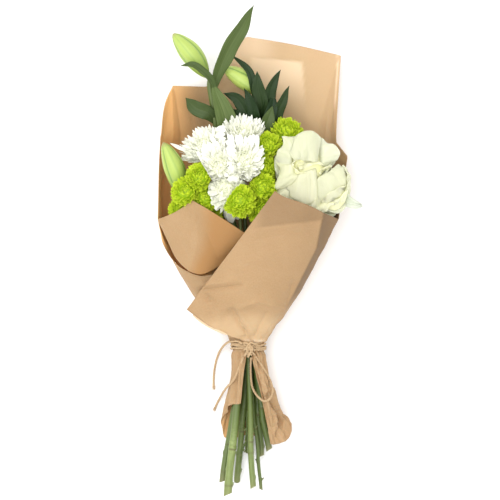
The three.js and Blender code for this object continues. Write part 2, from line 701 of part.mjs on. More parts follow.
function twineTie() {
  const steps = TWINE_TURNS * TURN_STEPS;
  const winding = range(steps + 1).map((k) => {
    const turn = (k / TURN_STEPS) * 2 * Math.PI;
    const along = (k / TURN_STEPS - TWINE_TURNS / 2) * TWINE_PITCH;
    const [across, up] = [Math.sin(turn) * TWINE_RING, Math.cos(turn) * TWINE_RING];
    return vec(NECK.x + across, NECK.y + along, NECK.z + up);
  });
  const knot = knotStrands.map((points) =>
    stalk(route(points.map((p) => point(p).clone().add(KNOT))), TWINE / 2, 4, 5),
  );
  return fused([stalk(route(winding), TWINE / 2, steps, 5), ...knot]);
}

// The free ends and the bow loop, from the knot outwards.
const twineEnds = {
  // over the side of the tie, down to the table
  twine_tail_left: [
    [-20, -107, 48.6], [-25, -104.6, 44.6], [-30, -104.5, 39], [-35.8, -106, 29], [-40, -109, 18],
    [-44, -113.5, 8.5], [-48, -120.5, 3], [-51.5, -131, 1.7], [-54, -147, 1.7], [-54, -164, 1.6],
  ],
  // along the skirt's left flap, then down to the table
  twine_tail_front: [
    [-19, -123, 46.2], [-22.5, -132, 45], [-26.5, -142, 43.9], [-30, -149, 40], [-33.4, -153.8, 34],
    [-37.6, -158.5, 23], [-41.5, -164, 11.5], [-45.5, -171, 4], [-50, -179.5, 1.8], [-54, -189, 1.6],
  ],
  // out over a stem, up on the skirt's right flap and back along it
  twine_bow_loop: [
    [-10, -123.5, 46.2], [-10.5, -131, 40.4], [-10.5, -140, 37.4], [-10, -149, 36.9], [-8.6, -157.5, 37.6],
    [-5, -165, 41.4], [0, -170.5, 45.6], [5, -173.6, 47.2], [10, -172.6, 46.8], [14, -167.5, 43.8],
    [15.2, -161, 40.2], [13.6, -154, 38.4], [11, -147.5, 39.1], [7, -140.5, 41.5], [2.5, -133, 43.8],
    [-2, -126.5, 44.6], [-5, -122, 46.2],
  ],
};

function twineEnd(points) {
  const curve = route(points);
  const section = new THREE.Shape().absarc(0, 0, TWINE / 2, 0, 2 * Math.PI);
  const steps = Math.round(curve.getLength() / (2.8 * TWINE));
  const shape = { steps, curveSegments: 4, extrudePath: curve, bevelEnabled: false };
  return solidOf(new THREE.ExtrudeGeometry(section, shape));
}

// ---------------------------------------------------------------- the bouquet

const colours = {
  paper: new THREE.MeshStandardMaterial({ color: 0xc9a173, roughness: 0.85 }),
  twine: new THREE.MeshStandardMaterial({ color: 0xc4a071, roughness: 0.95 }),
  rose: new THREE.MeshStandardMaterial({ color: 0xf3f2dc, roughness: 0.6 }),
  white: new THREE.MeshStandardMaterial({ color: 0xf6f8f2, roughness: 0.6 }),
  lime: new THREE.MeshStandardMaterial({ color: 0x9dc62b, roughness: 0.6 }),
  bud: new THREE.MeshStandardMaterial({ color: 0xa9cc5a, roughness: 0.45 }),
  leaf: new THREE.MeshStandardMaterial({ color: 0x3f6b37, roughness: 0.5 }),
  stem: new THREE.MeshStandardMaterial({ color: 0x7f9c54, roughness: 0.5 }),
};

const bouquet = new THREE.Group();

function group(...meshes) {
  bouquet.add(new THREE.Group().add(...meshes));
}

// A mesh whose geometry is in the piece's own frame, where it has one.
function node(name, solid, material, matrix = new THREE.Matrix4()) {
  const { vertProperties, triVerts } = placed(solid, matrix.clone().invert()).getMesh();
  const geometry = new THREE.BufferGeometry();
  geometry.setAttribute("position", new THREE.BufferAttribute(vertProperties, 3));
  geometry.setIndex(new THREE.BufferAttribute(triVerts, 1));
  geometry.computeVertexNormals();
  const mesh = new THREE.Mesh(geometry, material);
  mesh.name = name;
  mesh.applyMatrix4(matrix);
  return mesh;
}

// Heads that press on each other part at a plane, shared out by their sizes.
function pressed(heads) {
  return heads.map((head, i) => {
    let solid = head.solid;
    heads.forEach((other, j) => {
      const apart = other.centre.clone().sub(head.centre);
      const distance = apart.length();
      if (i === j || distance > 1.15 * (head.reach + other.reach)) return;
      const towards = apart.divideScalar(distance);
      const share = (distance * head.reach) / (head.reach + other.reach) - GAP / 2;
      const offset = head.centre.dot(towards) + share;
      solid = solid.trimByPlane(towards.clone().negate().toArray(), -offset);
    });
    return { ...head, solid: largest(solid) };
  });
}

// A head's bloom where it stands, its middle, and how far it reaches.
function stand(name, head, kind, bloom, material) {
  const size = head.scale ?? 1;
  const height = kind.height * size;
  const { matrix, base, axis } = frameOf(head, height);
  const whole = placed(bloom.scale([size, size, size]), matrix);
  const { guard } = head;
  const solid = guard
    ? whole.add(leaf(route(guard.rib), [0, 0, 1], guard.halfWidth, { steps: 3 }))
    : whole;
  const centre = base.clone().addScaledVector(axis, height / 2);
  return { name, material, matrix, solid, centre, reach: kind.radius * size * 0.94 };
}

const sprayHeads = (sprays, kind, bloom, material) =>
  sprays.flatMap(({ name, heads }) =>
    heads.map((head, k) => stand(`${name}_bloom_${k + 1}`, head, kind, bloom, material)),
  );

const heads = [
  ...roses.map((head) => stand(`${head.name}_bloom`, head, rose, roseBloom(), colours.rose)),
  ...sprayHeads(whiteSprays, whiteMum, whiteBloom(), colours.white),
  ...sprayHeads(greenSprays, greenMum, greenBloom(), colours.lime),
];

const paper = paperWrap(PAPER, 0);
const paperRoom = paperWrap(PAPER + 2 * GAP, GAP);

const stemParts = (swell) => [
  ...roses.map((head) => ({ name: head.name, solid: roseStem(head, swell) })),
  ...whiteSprays.map((one) => ({ name: one.name, solid: sprayStem(one, whiteMum, WHITE_CUP, swell) })),
  ...greenSprays.map((one) => ({ name: one.name, solid: sprayStem(one, greenMum, GREEN_CUP, swell) })),
  { name: "lily_1", solid: lilyStem("lily_1", buds[0], buds[2], swell) },
  { name: "lily_2", solid: lilyStem("lily_2", buds[1], null, swell) },
];
const stemSolids = stemParts(0);
const stemRoom = stemParts(GAP);

// A bloom gives way to the paper, the stems and the buds, and a leaf to the paper.
const budRoom = buds.map((bud) => budSolid(bud, GAP));
const taken = Manifold.union([paperRoom, ...budRoom, ...stemRoom.map(({ solid }) => solid)]);
const blooms = pressed(heads).map((made) => ({ ...made, solid: largest(made.solid.subtract(taken)) }));
const stemsInPaper = stemSolids.map(({ name, solid }) => ({
  name,
  solid: largest(solid.subtract(paperRoom)),
}));

group(node("kraft_paper_wrap", paper, colours.paper));
group(
  node("twine_tie", twineTie(), colours.twine),
  ...Object.entries(twineEnds).map(([name, points]) => node(name, twineEnd(points), colours.twine)),
);
group(...blooms.map(({ name, solid, material, matrix }) => node(name, solid, material, matrix)));
group(
  ...buds.map((bud) => node(bud.name, budSolid(bud, 0), colours.bud, budMatrix(bud))),
);
group(
  ...stemsInPaper.map(({ name, solid }) =>
    node(`${name}_stem`, solid, name.startsWith("lily") ? colours.leaf : colours.stem),
  ),
);

export default bouquet;
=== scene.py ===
import math

import bpy
import numpy as np
from mathutils import Matrix, Vector, geometry
from mathutils.bvhtree import BVHTree

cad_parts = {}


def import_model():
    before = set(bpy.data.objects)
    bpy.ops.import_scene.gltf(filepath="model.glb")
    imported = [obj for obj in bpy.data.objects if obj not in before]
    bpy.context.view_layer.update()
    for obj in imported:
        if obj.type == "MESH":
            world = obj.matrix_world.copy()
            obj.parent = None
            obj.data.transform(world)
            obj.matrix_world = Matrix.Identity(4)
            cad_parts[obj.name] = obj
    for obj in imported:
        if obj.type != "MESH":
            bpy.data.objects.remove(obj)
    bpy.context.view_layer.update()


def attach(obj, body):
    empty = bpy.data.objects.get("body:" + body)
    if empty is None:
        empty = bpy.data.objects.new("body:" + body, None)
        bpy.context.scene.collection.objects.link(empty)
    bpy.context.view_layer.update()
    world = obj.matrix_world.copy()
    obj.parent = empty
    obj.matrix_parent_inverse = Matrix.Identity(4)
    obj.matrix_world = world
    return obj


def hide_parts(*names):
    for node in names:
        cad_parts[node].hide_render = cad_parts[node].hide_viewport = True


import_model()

# A mixed bouquet in a kraft paper wrap, tied with jute twine and laid on its back: the fine paper, petals,
# florets, leaves, stems and twine that stand for the plain solids, with their finishes, light and camera.
# Metres, in the frame's own axes: +Z up from the table, +Y from the cut stems to the flowers.


def mm(values):
    """Millimetres as metres."""
    return np.array(values, float) / 1000


# ---------------------------------------------------------------- the camera, which looks straight down

PICTURE_WIDTH = 0.59  # of the table that the picture shows
PICTURE_MIDDLE = (-0.0112, 0.0012)
CAMERA_HEIGHT = 2.5
SENSOR_WIDTH = 36

camera = bpy.data.objects.new("camera", bpy.data.cameras.new("camera"))
bpy.context.scene.collection.objects.link(camera)
camera.location = (*PICTURE_MIDDLE, CAMERA_HEIGHT)
camera.data.sensor_width = SENSOR_WIDTH
camera.data.lens = SENSOR_WIDTH * CAMERA_HEIGHT / PICTURE_WIDTH
camera.data.clip_end = 20
bpy.context.scene.camera = camera

# ---------------------------------------------------------------- curves and directions


def unit(v):
    """Vectors at length 1."""
    return v / np.maximum(np.linalg.norm(v, axis=-1, keepdims=True), 1e-12)


def smooth(t):
    """t from 0 to 1, held there and eased at both ends."""
    t = np.clip(t, 0, 1)
    return t * t * (3 - 2 * t)


def mix(a, b, t):
    """a where t is 0 and b where it is 1."""
    return a + (b - a) * t


def after(t, start, run):
    """0 up to start, then rising to 1 over a run."""
    return smooth((t - start) / run)


def before(t, end, run):
    """1 at first, then falling over a run to 0 at end."""
    return smooth((end - t) / run)


def hump(t, middle, width):
    """1 at the middle, and near 0 from two widths away."""
    return np.exp(-(((t - middle) / width) ** 2))


def turns(sides):
    """The angles of a ring's points."""
    return np.linspace(0, 2 * np.pi, sides, endpoint=False)


def around_axis(angle, out, height):
    """Points at an angle round +Z, so far out and so high."""
    return np.stack(np.broadcast_arrays(np.cos(angle) * out, np.sin(angle) * out, height), -1)


class Route:
    """A smooth curve through points, which turns sharply at those numbered in corners."""

    def __init__(self, points, corners=()):
        p = np.array(points, float)
        self.points = np.vstack([2 * p[0] - p[1], p, 2 * p[-1] - p[-2]])
        self.spans = len(p) - 1
        self.corners = list(corners)
        self.places = np.linspace(0, 1, 401)
        steps = np.linalg.norm(np.diff(self.at(self.places), axis=0), axis=1)
        self.lengths = np.concatenate([[0], np.cumsum(steps)])
        self.length = self.lengths[-1]

    def at(self, place):
        """Points at places from 0 to 1, counted by the points given."""
        x = np.clip(place, 0, 1) * self.spans
        i = np.minimum(x.astype(int), self.spans - 1)
        w = (x - i)[:, None]
        a, b, c, d = (self.points[i + k] for k in range(4))
        a = np.where(np.isin(i, self.corners)[:, None], 2 * b - c, a)
        d = np.where(np.isin(i + 1, self.corners)[:, None], 2 * c - b, d)
        p, q, r = (
            np.maximum(np.linalg.norm(end - start, axis=1, keepdims=True), 1e-9) ** 0.5
            for start, end in ((a, b), (b, c), (c, d))
        )
        leave = ((b - a) / p - (c - a) / (p + q) + (c - b) / q) * q
        enter = ((c - b) / q - (d - b) / (q + r) + (d - c) / r) * q
        bend = 3 * (c - b) - 2 * leave - enter
        return b + leave * w + bend * w**2 + (2 * (b - c) + leave + enter) * w**3

    def even(self, share):
        """Points at shares of the length."""
        return self.at(np.interp(np.asarray(share) * self.length, self.lengths, self.places))


def steps_of(line):
    """Distance from the start of a line of points to each of them."""
    return np.concatenate([[0], np.cumsum(np.linalg.norm(np.diff(line, axis=0), axis=1))])


def frames(line):
    """The direction of a line at each point, and two directions across it that don't twist."""
    along = unit(np.gradient(line, axis=0))
    side = np.empty_like(line)
    last = np.cross(along[0], (0.21, 0.33, 0.92))
    for i, direction in enumerate(along):
        last = last - direction * (last @ direction)
        last = last / np.linalg.norm(last)
        side[i] = last
    return along, side, np.cross(along, side)


def rings_round(line, side, up, angle, radius):
    """Rings of points round a line. radius may differ from ring to ring and from point to point."""
    around = np.cos(angle)[None, :, None] * side[:, None] + np.sin(angle)[None, :, None] * up[:, None]
    return line[:, None] + radius * around


def sway(points, wavelength, seed):
    """A gentle random wave from about -1 to 1 over points in space."""
    rng = np.random.default_rng(seed)
    ways = unit(rng.normal(size=(7, 3))) * (2 * np.pi / wavelength) * rng.uniform(0.6, 1.5, (7, 1))
    phases = rng.uniform(0, 2 * np.pi, 7)
    return np.sin(points @ ways.T + phases).sum(-1) / 3.2


# ---------------------------------------------------------------- pieces


def grid_quads(rows, columns, closed):
    """Four corners of each cell of a grid whose last column may join its first."""
    spans = columns if closed else columns - 1
    i, j = np.meshgrid(np.arange(rows - 1), np.arange(spans), indexing="ij")
    a, b = i * columns + j, i * columns + (j + 1) % columns
    return np.stack([a, b, b + columns, a + columns], -1).reshape(-1, 4)


class Piece:
    """Gathers the surfaces of one piece, with values on their points that its finish reads."""

    def __init__(self):
        self.points, self.faces, self.values, self.count = [], [], [], 0

    def add(self, points, faces, values):
        self.points.append(points.reshape(-1, 3))
        self.faces += [group + self.count for group in faces]
        self.values.append(values)
        self.count += points.size // 3

    def tube(self, rings, **values):
        """A closed tube through rings of points, indexed ring, point, xyz. cut is 1 in its two ends."""
        rows, sides, _ = rings.shape
        j = np.arange(sides)
        total = rows * sides
        caps = [np.concatenate([ring, ring.mean(0, keepdims=True)]) for ring in (rings[0], rings[-1])]
        first, last = total, total + sides + 1
        fans = [
            np.stack([0 * j + first + sides, first + (j + 1) % sides, first + j], -1),
            np.stack([0 * j + last + sides, last + j, last + (j + 1) % sides], -1),
        ]
        full = {"cut": np.concatenate([np.zeros(total), np.ones(2 * sides + 2)])}
        for name, value in values.items():
            value = np.broadcast_to(np.asarray(value, float), (rows, sides))
            ends = [np.append(value[k], value[k].mean()) for k in (0, -1)]
            full[name] = np.concatenate([value.reshape(-1), *ends])
        points = np.concatenate([rings.reshape(-1, 3), *caps])
        self.add(points, [grid_quads(rows, sides, True), *fans], full)

    def blades(self, grids, thickness, **values):
        """Closed thin blades through grids of points, indexed blade, row, column, xyz. upper is 1 on the
        side that looks along the grids' normals, and 0 on the other."""
        count, rows, columns, _ = grids.shape
        normal = unit(np.cross(np.gradient(grids, axis=2), np.gradient(grids, axis=1)))
        shift = normal * np.broadcast_to(thickness, grids.shape[:3])[..., None] / 2
        top = grid_quads(rows, columns, False)
        under = rows * columns
        number = np.arange(under).reshape(rows, columns)
        rims = [number[0, ::-1], number[-1], number[:, 0], number[::-1, -1]]
        sides = [np.stack([rim[:-1], rim[1:], rim[1:] + under, rim[:-1] + under], -1) for rim in rims]
        one = np.concatenate([top, top[:, ::-1] + under, *sides])
        offsets = np.arange(count) * 2 * under
        both = {
            name: np.stack([np.broadcast_to(value, grids.shape[:3])] * 2, 1).reshape(-1)
            for name, value in values.items()
        }
        both["upper"] = np.tile(np.repeat([1.0, 0.0], under), count)
        points = np.stack([grids + shift, grids - shift], 1)
        self.add(points, [(one[None] + offsets[:, None, None]).reshape(-1, 4)], both)

    def make(self, name, finish, nodes=()):
        """The piece as an object of that finish, which rides on the bouquet and stands for CAD nodes."""
        mesh = bpy.data.meshes.new(name)
        points = np.concatenate(self.points)
        mesh.vertices.add(len(points))
        mesh.vertices.foreach_set("co", points.astype(np.float32).ravel())
        sizes = np.concatenate([np.full(len(group), group.shape[1]) for group in self.faces])
        mesh.loops.add(int(sizes.sum()))
        corners = np.concatenate([group.ravel() for group in self.faces])
        mesh.loops.foreach_set("vertex_index", corners.astype(np.int32))
        mesh.polygons.add(len(sizes))
        mesh.polygons.foreach_set("loop_start", (np.cumsum(sizes) - sizes).astype(np.int32))
        mesh.update(calc_edges=True)
        mesh.shade_smooth()
        for key in sorted({key for values in self.values for key in values}):
            numbers = [
                np.broadcast_to(values.get(key, 0.0), len(points))
                for values, points in zip(self.values, self.points)
            ]
            carried = mesh.attributes.new(key, "FLOAT", "POINT")
            carried.data.foreach_set("value", np.concatenate(numbers).astype(np.float32))
        mesh.materials.append(finish)
        piece = bpy.data.objects.new(name, mesh)
        bpy.context.scene.collection.objects.link(piece)
        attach(piece, "root")
        if nodes:
            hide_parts(*nodes)
        return piece


# ---------------------------------------------------------------- finishes


def label_of(name):
    """The label of an effect's input or output, from a name in code."""
    return name.replace("_", " ").capitalize()


class Net:
    """Adds nodes to a finish or a shared effect, and joins them."""

    def __init__(self, tree):
        self.tree = tree

    def fill(self, node, inputs):
        for name, value in inputs.items():
            if isinstance(value, bpy.types.NodeSocket):
                self.tree.links.new(value, node.inputs[name])
            else:
                node.inputs[name].default_value = value
        return node

    def add(self, kind, inputs=(), **settings):
        node = self.tree.nodes.new("ShaderNode" + kind)
        for name, value in settings.items():
            setattr(node, name, value)
        return self.fill(node, dict(inputs))

    def read(self, name):
        """A value that the piece's points carry."""
        return self.add("Attribute", attribute_name=name).outputs["Fac"]

    def maths(self, operation, a, b=0.0):
        return self.add("Math", {0: a, 1: b}, operation=operation).outputs[0]

    def ramp(self, value, low, high, start=0.0, end=1.0):
        """value from low to high as start to end, held at both ends."""
        ranges = {"Value": value, "From Min": low, "From Max": high, "To Min": start, "To Max": end}
        return self.add("MapRange", ranges).outputs[0]

    def blend(self, share, a, b):
        """Colour a where share is 0 and colour b where it is 1."""
        return self.add("Mix", {0: share, 6: a, 7: b}, data_type="RGBA").outputs[2]

    def tint(self, base, area, strength, tint):
        """base, with as much of a tint as strength says where area is 1."""
        return self.blend(self.maths("MULTIPLY", area, strength), base, tint)

    def effect(self, group, **inputs):
        node = self.tree.nodes.new("ShaderNodeGroup")
        node.node_tree = group
        return self.fill(node, {label_of(name): value for name, value in inputs.items()}).outputs

    def mottle(self, light, dark, patch_size, speck_size, specks):
        """Mottled patches of two colours."""
        return self.effect(MOTTLE, light=light, dark=dark, patch_size=patch_size, speck_size=speck_size,
                           specks=specks)["Colour"]

    def patches(self, patch_size, speck_size, specks):
        """Where mottled patches are light, from 0 to 1."""
        return self.effect(MOTTLE, patch_size=patch_size, speck_size=speck_size, specks=specks)["Value"]

    def streaks(self, across, along, seed, lines, run):
        """Streaks, so many for each 1 of across, that change so fast along."""
        return self.effect(STREAKS, across=across, along=along, seed=seed, lines=lines, run=run)["Value"]


def colour(r, g, b):
    """A colour given by how much red, green and blue light it sends back."""
    return (r, g, b, 1.0)


def shared_effect(name, inputs, outputs):
    """A node group with its inputs and outputs, a Net that adds nodes to it, and what it is given."""
    group = bpy.data.node_groups.new(name, "ShaderNodeTree")
    for label, kind, value in inputs:
        socket = group.interface.new_socket(name=label, in_out="INPUT", socket_type="NodeSocket" + kind)
        socket.default_value = value
    for label, kind in outputs:
        group.interface.new_socket(name=label, in_out="OUTPUT", socket_type="NodeSocket" + kind)
    return group, Net(group), group.nodes.new("NodeGroupInput").outputs


def close_effect(group, **outputs):
    """The node group, with what it gives out joined to its outputs."""
    end = group.nodes.new("NodeGroupOutput")
    for name, value in outputs.items():
        group.links.new(value, end.inputs[label_of(name)])
    return group
def make_mottle():
    """Soft patches of two colours, with finer specks in them."""
    group, net, given = shared_effect(
        "mottle",
        [("Light", "Color", colour(1, 1, 1)), ("Dark", "Color", colour(0, 0, 0)),
         ("Patch size", "Float", 0.02), ("Speck size", "Float", 0.002), ("Specks", "Float", 0.3)],
        [("Colour", "Color"), ("Value", "Float")],
    )
    place = net.add("TexCoord").outputs["Object"]
    coarse = net.maths("DIVIDE", 1.0, given["Patch size"])
    fine = net.maths("DIVIDE", 1.0, given["Speck size"])
    patches = net.add("TexNoise", {"Vector": place, "Scale": coarse, "Detail": 4.0}).outputs[0]
    specks = net.add("TexNoise", {"Vector": place, "Scale": fine, "Detail": 2.0}).outputs[0]
    mixed = net.add("Mix", {0: given["Specks"], 2: patches, 3: specks}).outputs[0]
    value = net.ramp(mixed, 0.32, 0.68)
    return close_effect(group, Colour=net.blend(value, given["Dark"], given["Light"]), Value=value)


def make_streaks():
    """Fine lines that run along a blade or a stalk, from its own lengthwise and crosswise values."""
    group, net, given = shared_effect(
        "streaks",
        [("Across", "Float", 0.0), ("Along", "Float", 0.0), ("Seed", "Float", 0.0),
         ("Lines", "Float", 10.0), ("Run", "Float", 1.0)],
        [("Value", "Float")],
    )
    spot = net.add("CombineXYZ", {
        0: net.maths("MULTIPLY", given["Across"], given["Lines"]),
        1: net.maths("MULTIPLY", given["Along"], given["Run"]),
        2: net.maths("MULTIPLY", given["Seed"], 37.0),
    }).outputs[0]
    lines = net.add("TexNoise", {"Vector": spot, "Scale": 1.0, "Detail": 2.0}).outputs[0]
    return close_effect(group, Value=net.ramp(lines, 0.3, 0.7))


MOTTLE = make_mottle()
STREAKS = make_streaks()


def finish_of(name, roughness, build, **constants):
    """A finish whose build function gives what varies over the surface, as sockets by input name. Height
    comes with the depth of the relief, in metres."""
    material = bpy.data.materials.new(name)
    material.use_nodes = True
    net = Net(material.node_tree)
    shader = material.node_tree.nodes["Principled BSDF"]
    shader.inputs["Roughness"].default_value = roughness
    for key, value in constants.items():
        shader.inputs[key.replace("_", " ")].default_value = value
    varied = build(net)
    if "Height" in varied:
        height, depth = varied.pop("Height")
        bump = net.add("Bump", {"Height": height, "Distance": depth, "Strength": 1.0})
        varied["Normal"] = bump.outputs[0]
    net.fill(shader, varied)
    return material


# How deep the relief of each surface is.
RELIEF = {
    "paper": 0.00009, "strand": 0.00018, "petal": 0.00012, "floret": 0.0001, "bud": 0.00012, "leaf": 0.00012,
    "stem": 0.00014,
}


def kraft_paper(net):
    """Brown paper: fibres and flecks, faint ribs, and pale lines where it was creased. Over whole areas light
    and
    shade are painted into its colour: paler painted light, painted shade, warm painted shade, a painted glow
    of the light within the wrap, and painted highlights."""
    flat = net.add("CombineXYZ", {0: net.read("sheet_across"), 1: net.read("sheet_along"), 2: 0.0}).outputs[0]
    tone = net.mottle(colour(0.415, 0.268, 0.139), colour(0.348, 0.217, 0.106),
                      patch_size=0.045, speck_size=0.0011, specks=0.45)
    fibre_place = net.add("VectorMath", {0: flat, 1: (1.0, 0.16, 1.0)}, operation="MULTIPLY").outputs[0]
    fibres = net.add("TexNoise", {"Vector": fibre_place, "Scale": 1500.0, "Detail": 3.0}).outputs[0]
    creases = net.add("TexVoronoi", {"Vector": flat, "Scale": 26.0}, feature="DISTANCE_TO_EDGE").outputs[0]
    crumpled = net.ramp(net.read("crumpled"), 0.0, 1.0)
    worn = net.maths("MULTIPLY", net.ramp(creases, 0.0, 0.05, 1.0, 0.0), crumpled)
    shade = net.tint(tone, net.ramp(fibres, 0.35, 0.75), 0.35, colour(0.48, 0.325, 0.182))
    shade = net.tint(shade, worn, 0.2, colour(0.60, 0.43, 0.27))
    # painted light and shade, area by area: paler painted light, painted shade, warm painted shade, a painted
    # orange glow and painted highlights
    for area, strength, tint in (
        ("pale", 0.65, colour(0.62, 0.44, 0.255)),
        ("dull", 0.9, colour(0.15, 0.092, 0.046)),
        ("warm", 0.9, colour(0.36, 0.185, 0.064)),
        ("inside", 0.9, colour(0.84, 0.48, 0.19)),
        ("bleached", 0.8, colour(0.82, 0.63, 0.43)),
    ):
        shade = net.tint(shade, net.read(area), strength, tint)
    ribs = net.add("TexWave", {"Vector": flat, "Scale": 330.0, "Distortion": 0.6}, bands_direction="Y")
    height = net.maths("ADD", net.maths("MULTIPLY", ribs.outputs[1], 0.25), fibres)
    height = net.maths("SUBTRACT", height, net.maths("MULTIPLY", worn, 2.0))
    return {"Base Color": shade, "Height": (height, RELIEF["paper"])}


def jute(net):
    """Twisted plant fibre: tan, streaked along each strand."""
    lines = net.streaks(net.read("round"), net.read("length"), net.read("tone"), lines=7.0, run=900.0)
    tone = net.mottle(colour(0.58, 0.41, 0.235), colour(0.40, 0.26, 0.135),
                      patch_size=0.004, speck_size=0.0006, specks=0.5)
    shade = net.tint(tone, lines, 0.55, colour(0.72, 0.56, 0.36))
    return {"Base Color": shade, "Height": (lines, RELIEF["strand"])}


def rose_petal(net):
    """Ivory petals: greener at the foot and on the outermost ones, creamy yellow at the heart, with painted
    light and shade.
    """
    along, across, tone = net.read("along"), net.read("across"), net.read("tone")
    lines = net.streaks(across, along, tone, lines=15.0, run=1.4)
    body = net.blend(tone, colour(0.71, 0.725, 0.45), colour(0.735, 0.745, 0.48))
    patches = net.patches(patch_size=0.012, speck_size=0.004, specks=0.1)
    body = net.tint(body, patches, 0.5, colour(0.755, 0.735, 0.47))
    body = net.tint(body, lines, 0.35, colour(0.72, 0.74, 0.38))
    body = net.blend(net.ramp(along, 0.5, 0.05, 0.0, 0.6), body, colour(0.78, 0.80, 0.42))
    # creamy yellow at the heart, made brighter as painted light against the shade deep in it
    body = net.tint(body, net.read("heart"), 0.7, colour(0.90, 0.885, 0.52))
    # greener on the outermost petals, and painted shade on petals that catch much light
    body = net.tint(body, net.read("outer"), 0.8, colour(0.50, 0.545, 0.43))
    return {"Base Color": body, "Height": (lines, RELIEF["petal"])}


def floret(body, streak, foot, heart):
    """The finish of florets that are ribbed lengthwise. body is the two colours that they lie between, and
    the others a strength and a colour: of the ribs, of the foot and of those in the middle of the bloom.
    foot also says where along the floret its colour ends and where it is full."""

    def build(net):
        along, across, tone = net.read("along"), net.read("across"), net.read("tone")
        lines = net.streaks(across, along, tone, lines=4.0, run=0.8)
        end, full, strength, tint = foot
        shade = net.tint(net.blend(tone, *body), lines, *streak)
        shade = net.blend(net.ramp(along, end, full, 0.0, strength), shade, tint)
        shade = net.tint(shade, net.read("heart"), *heart)
        return {"Base Color": shade, "Height": (lines, RELIEF["floret"])}

    return build


white_floret = floret(
    body=(colour(0.96, 0.97, 0.84), colour(0.98, 0.98, 0.90)),
    streak=(0.2, colour(0.93, 0.95, 0.78)),
    foot=(0.45, 0.0, 0.45, colour(0.92, 0.95, 0.66)),
    heart=(0.35, colour(0.94, 0.96, 0.66)),
)
green_floret = floret(
    body=(colour(0.42, 0.575, 0.012), colour(0.60, 0.73, 0.03)),
    streak=(0.3, colour(0.66, 0.78, 0.08)),
    foot=(0.55, 0.05, 0.8, colour(0.22, 0.36, 0.006)),
    heart=(0.2, colour(0.44, 0.60, 0.012)),
)


def lily_bud(net):
    """Yellow-green bud: darker in its grooves and at its foot, brownish at the very tip."""
    along, across = net.read("along"), net.read("across")
    lines = net.streaks(across, along, net.read("tone"), lines=34.0, run=2.0)
    body = net.blend(net.ramp(along, 0.0, 0.55), colour(0.22, 0.34, 0.05), colour(0.42, 0.53, 0.115))
    body = net.tint(body, lines, 0.35, colour(0.30, 0.42, 0.09))
    body = net.tint(body, net.read("groove"), 0.85, colour(0.13, 0.27, 0.04))
    body = net.blend(net.ramp(along, 0.93, 1.0, 0.0, 0.8), body, colour(0.30, 0.26, 0.10))
    return {"Base Color": body, "Height": (lines, RELIEF["bud"])}


def lily_leaf(net):
    """Leaves with parallel veins, a pale midrib and a paler underside."""
    along, across, tone = net.read("along"), net.read("across"), net.read("tone")
    lines = net.streaks(across, along, tone, lines=9.0, run=0.7)
    body = net.blend(tone, colour(0.008, 0.024, 0.006), colour(0.110, 0.160, 0.040))
    pale = net.blend(tone, colour(0.020, 0.045, 0.013), colour(0.19, 0.24, 0.085))
    body = net.tint(body, lines, 0.4, pale)
    midrib = net.ramp(net.maths("ABSOLUTE", across), 0.0, 0.1, 0.55, 0.0)
    body = net.blend(midrib, body, pale)
    body = net.tint(body, net.maths("SUBTRACT", 1.0, net.read("upper")), 0.5, pale)
    return {"Base Color": body, "Height": (lines, RELIEF["leaf"])}


def stem_skin(net):
    """Stems from dark olive to pale green, streaked, with brown scars and pale cut ends."""
    tone = net.read("tone")
    lines = net.streaks(net.read("round"), net.read("length"), tone, lines=9.0, run=60.0)
    body = net.blend(tone, colour(0.030, 0.060, 0.007), colour(0.29, 0.355, 0.115))
    body = net.tint(body, lines, 0.6, colour(0.085, 0.14, 0.02))
    patches = net.patches(patch_size=0.014, speck_size=0.003, specks=0.2)
    body = net.tint(body, patches, 0.45, colour(0.12, 0.165, 0.03))
    specks = net.patches(patch_size=0.003, speck_size=0.0008, specks=0.6)
    body = net.blend(net.ramp(specks, 0.7, 1.0, 0.0, 0.5), body, colour(0.10, 0.085, 0.03))
    body = net.tint(body, net.read("scar"), 0.9, colour(0.085, 0.065, 0.02))
    body = net.tint(body, net.read("dry"), 0.7, colour(0.22, 0.19, 0.085))
    body = net.blend(net.read("cut"), body, colour(0.36, 0.37, 0.20))
    return {"Base Color": body, "Height": (lines, RELIEF["stem"])}


def pale_table(net):
    """A plain pale surface."""
    return {"Base Color": net.mottle(colour(0.97, 0.97, 0.968), colour(0.955, 0.955, 0.953),
                                     patch_size=0.3, speck_size=0.01, specks=0.2)}
def flesh(weight, spread):
    """How much of the light that enters a petal or a bud comes out again, and how far away."""
    return {"Subsurface_Weight": weight, "Subsurface_Radius": (1.0, 1.0, 1.0), "Subsurface_Scale": spread}


PAPER_FINISH = finish_of("kraft_paper", 0.72, kraft_paper, Specular_IOR_Level=0.25, Subsurface_Weight=0.2,
                         Subsurface_Radius=(1.0, 0.55, 0.3), Subsurface_Scale=0.0012)
JUTE_FINISH = finish_of("jute", 0.9, jute, Specular_IOR_Level=0.15)
ROSE_FINISH = finish_of("rose_petal", 0.55, rose_petal, Specular_IOR_Level=0.25, **flesh(0.7, 0.0038))
WHITE_FINISH = finish_of("white_floret", 0.5, white_floret, **flesh(0.2, 0.003))
GREEN_FINISH = finish_of("green_floret", 0.5, green_floret, Specular_IOR_Level=0.25, **flesh(0.2, 0.0012))
BUD_FINISH = finish_of("lily_bud", 0.38, lily_bud, **flesh(0.1, 0.0012))
LEAF_FINISH = finish_of("lily_leaf", 0.42, lily_leaf, Specular_IOR_Level=0.2)
STEM_FINISH = finish_of("stem", 0.45, stem_skin)
TABLE_FINISH = finish_of("pale_table", 0.9, pale_table, Specular_IOR_Level=0.1)

# ---------------------------------------------------------------- the twine

TWINE = 0.0026  # its diameter
STRAND = 0.2438 * TWINE  # the radius of one strand
STRAND_OFFSET = 0.2652 * TWINE  # of a strand's middle from the twine's
TWIST = 0.0075  # length of one full turn of the strands
LOOSE_END = 0.006  # over which the strands part
FRAYED_END = 0.003  # over which they thin
HAIR_RADII = (0.00007, 0.00003)  # at a stray fibre's foot and tip
TABLE_CLEARANCE = 0.0006

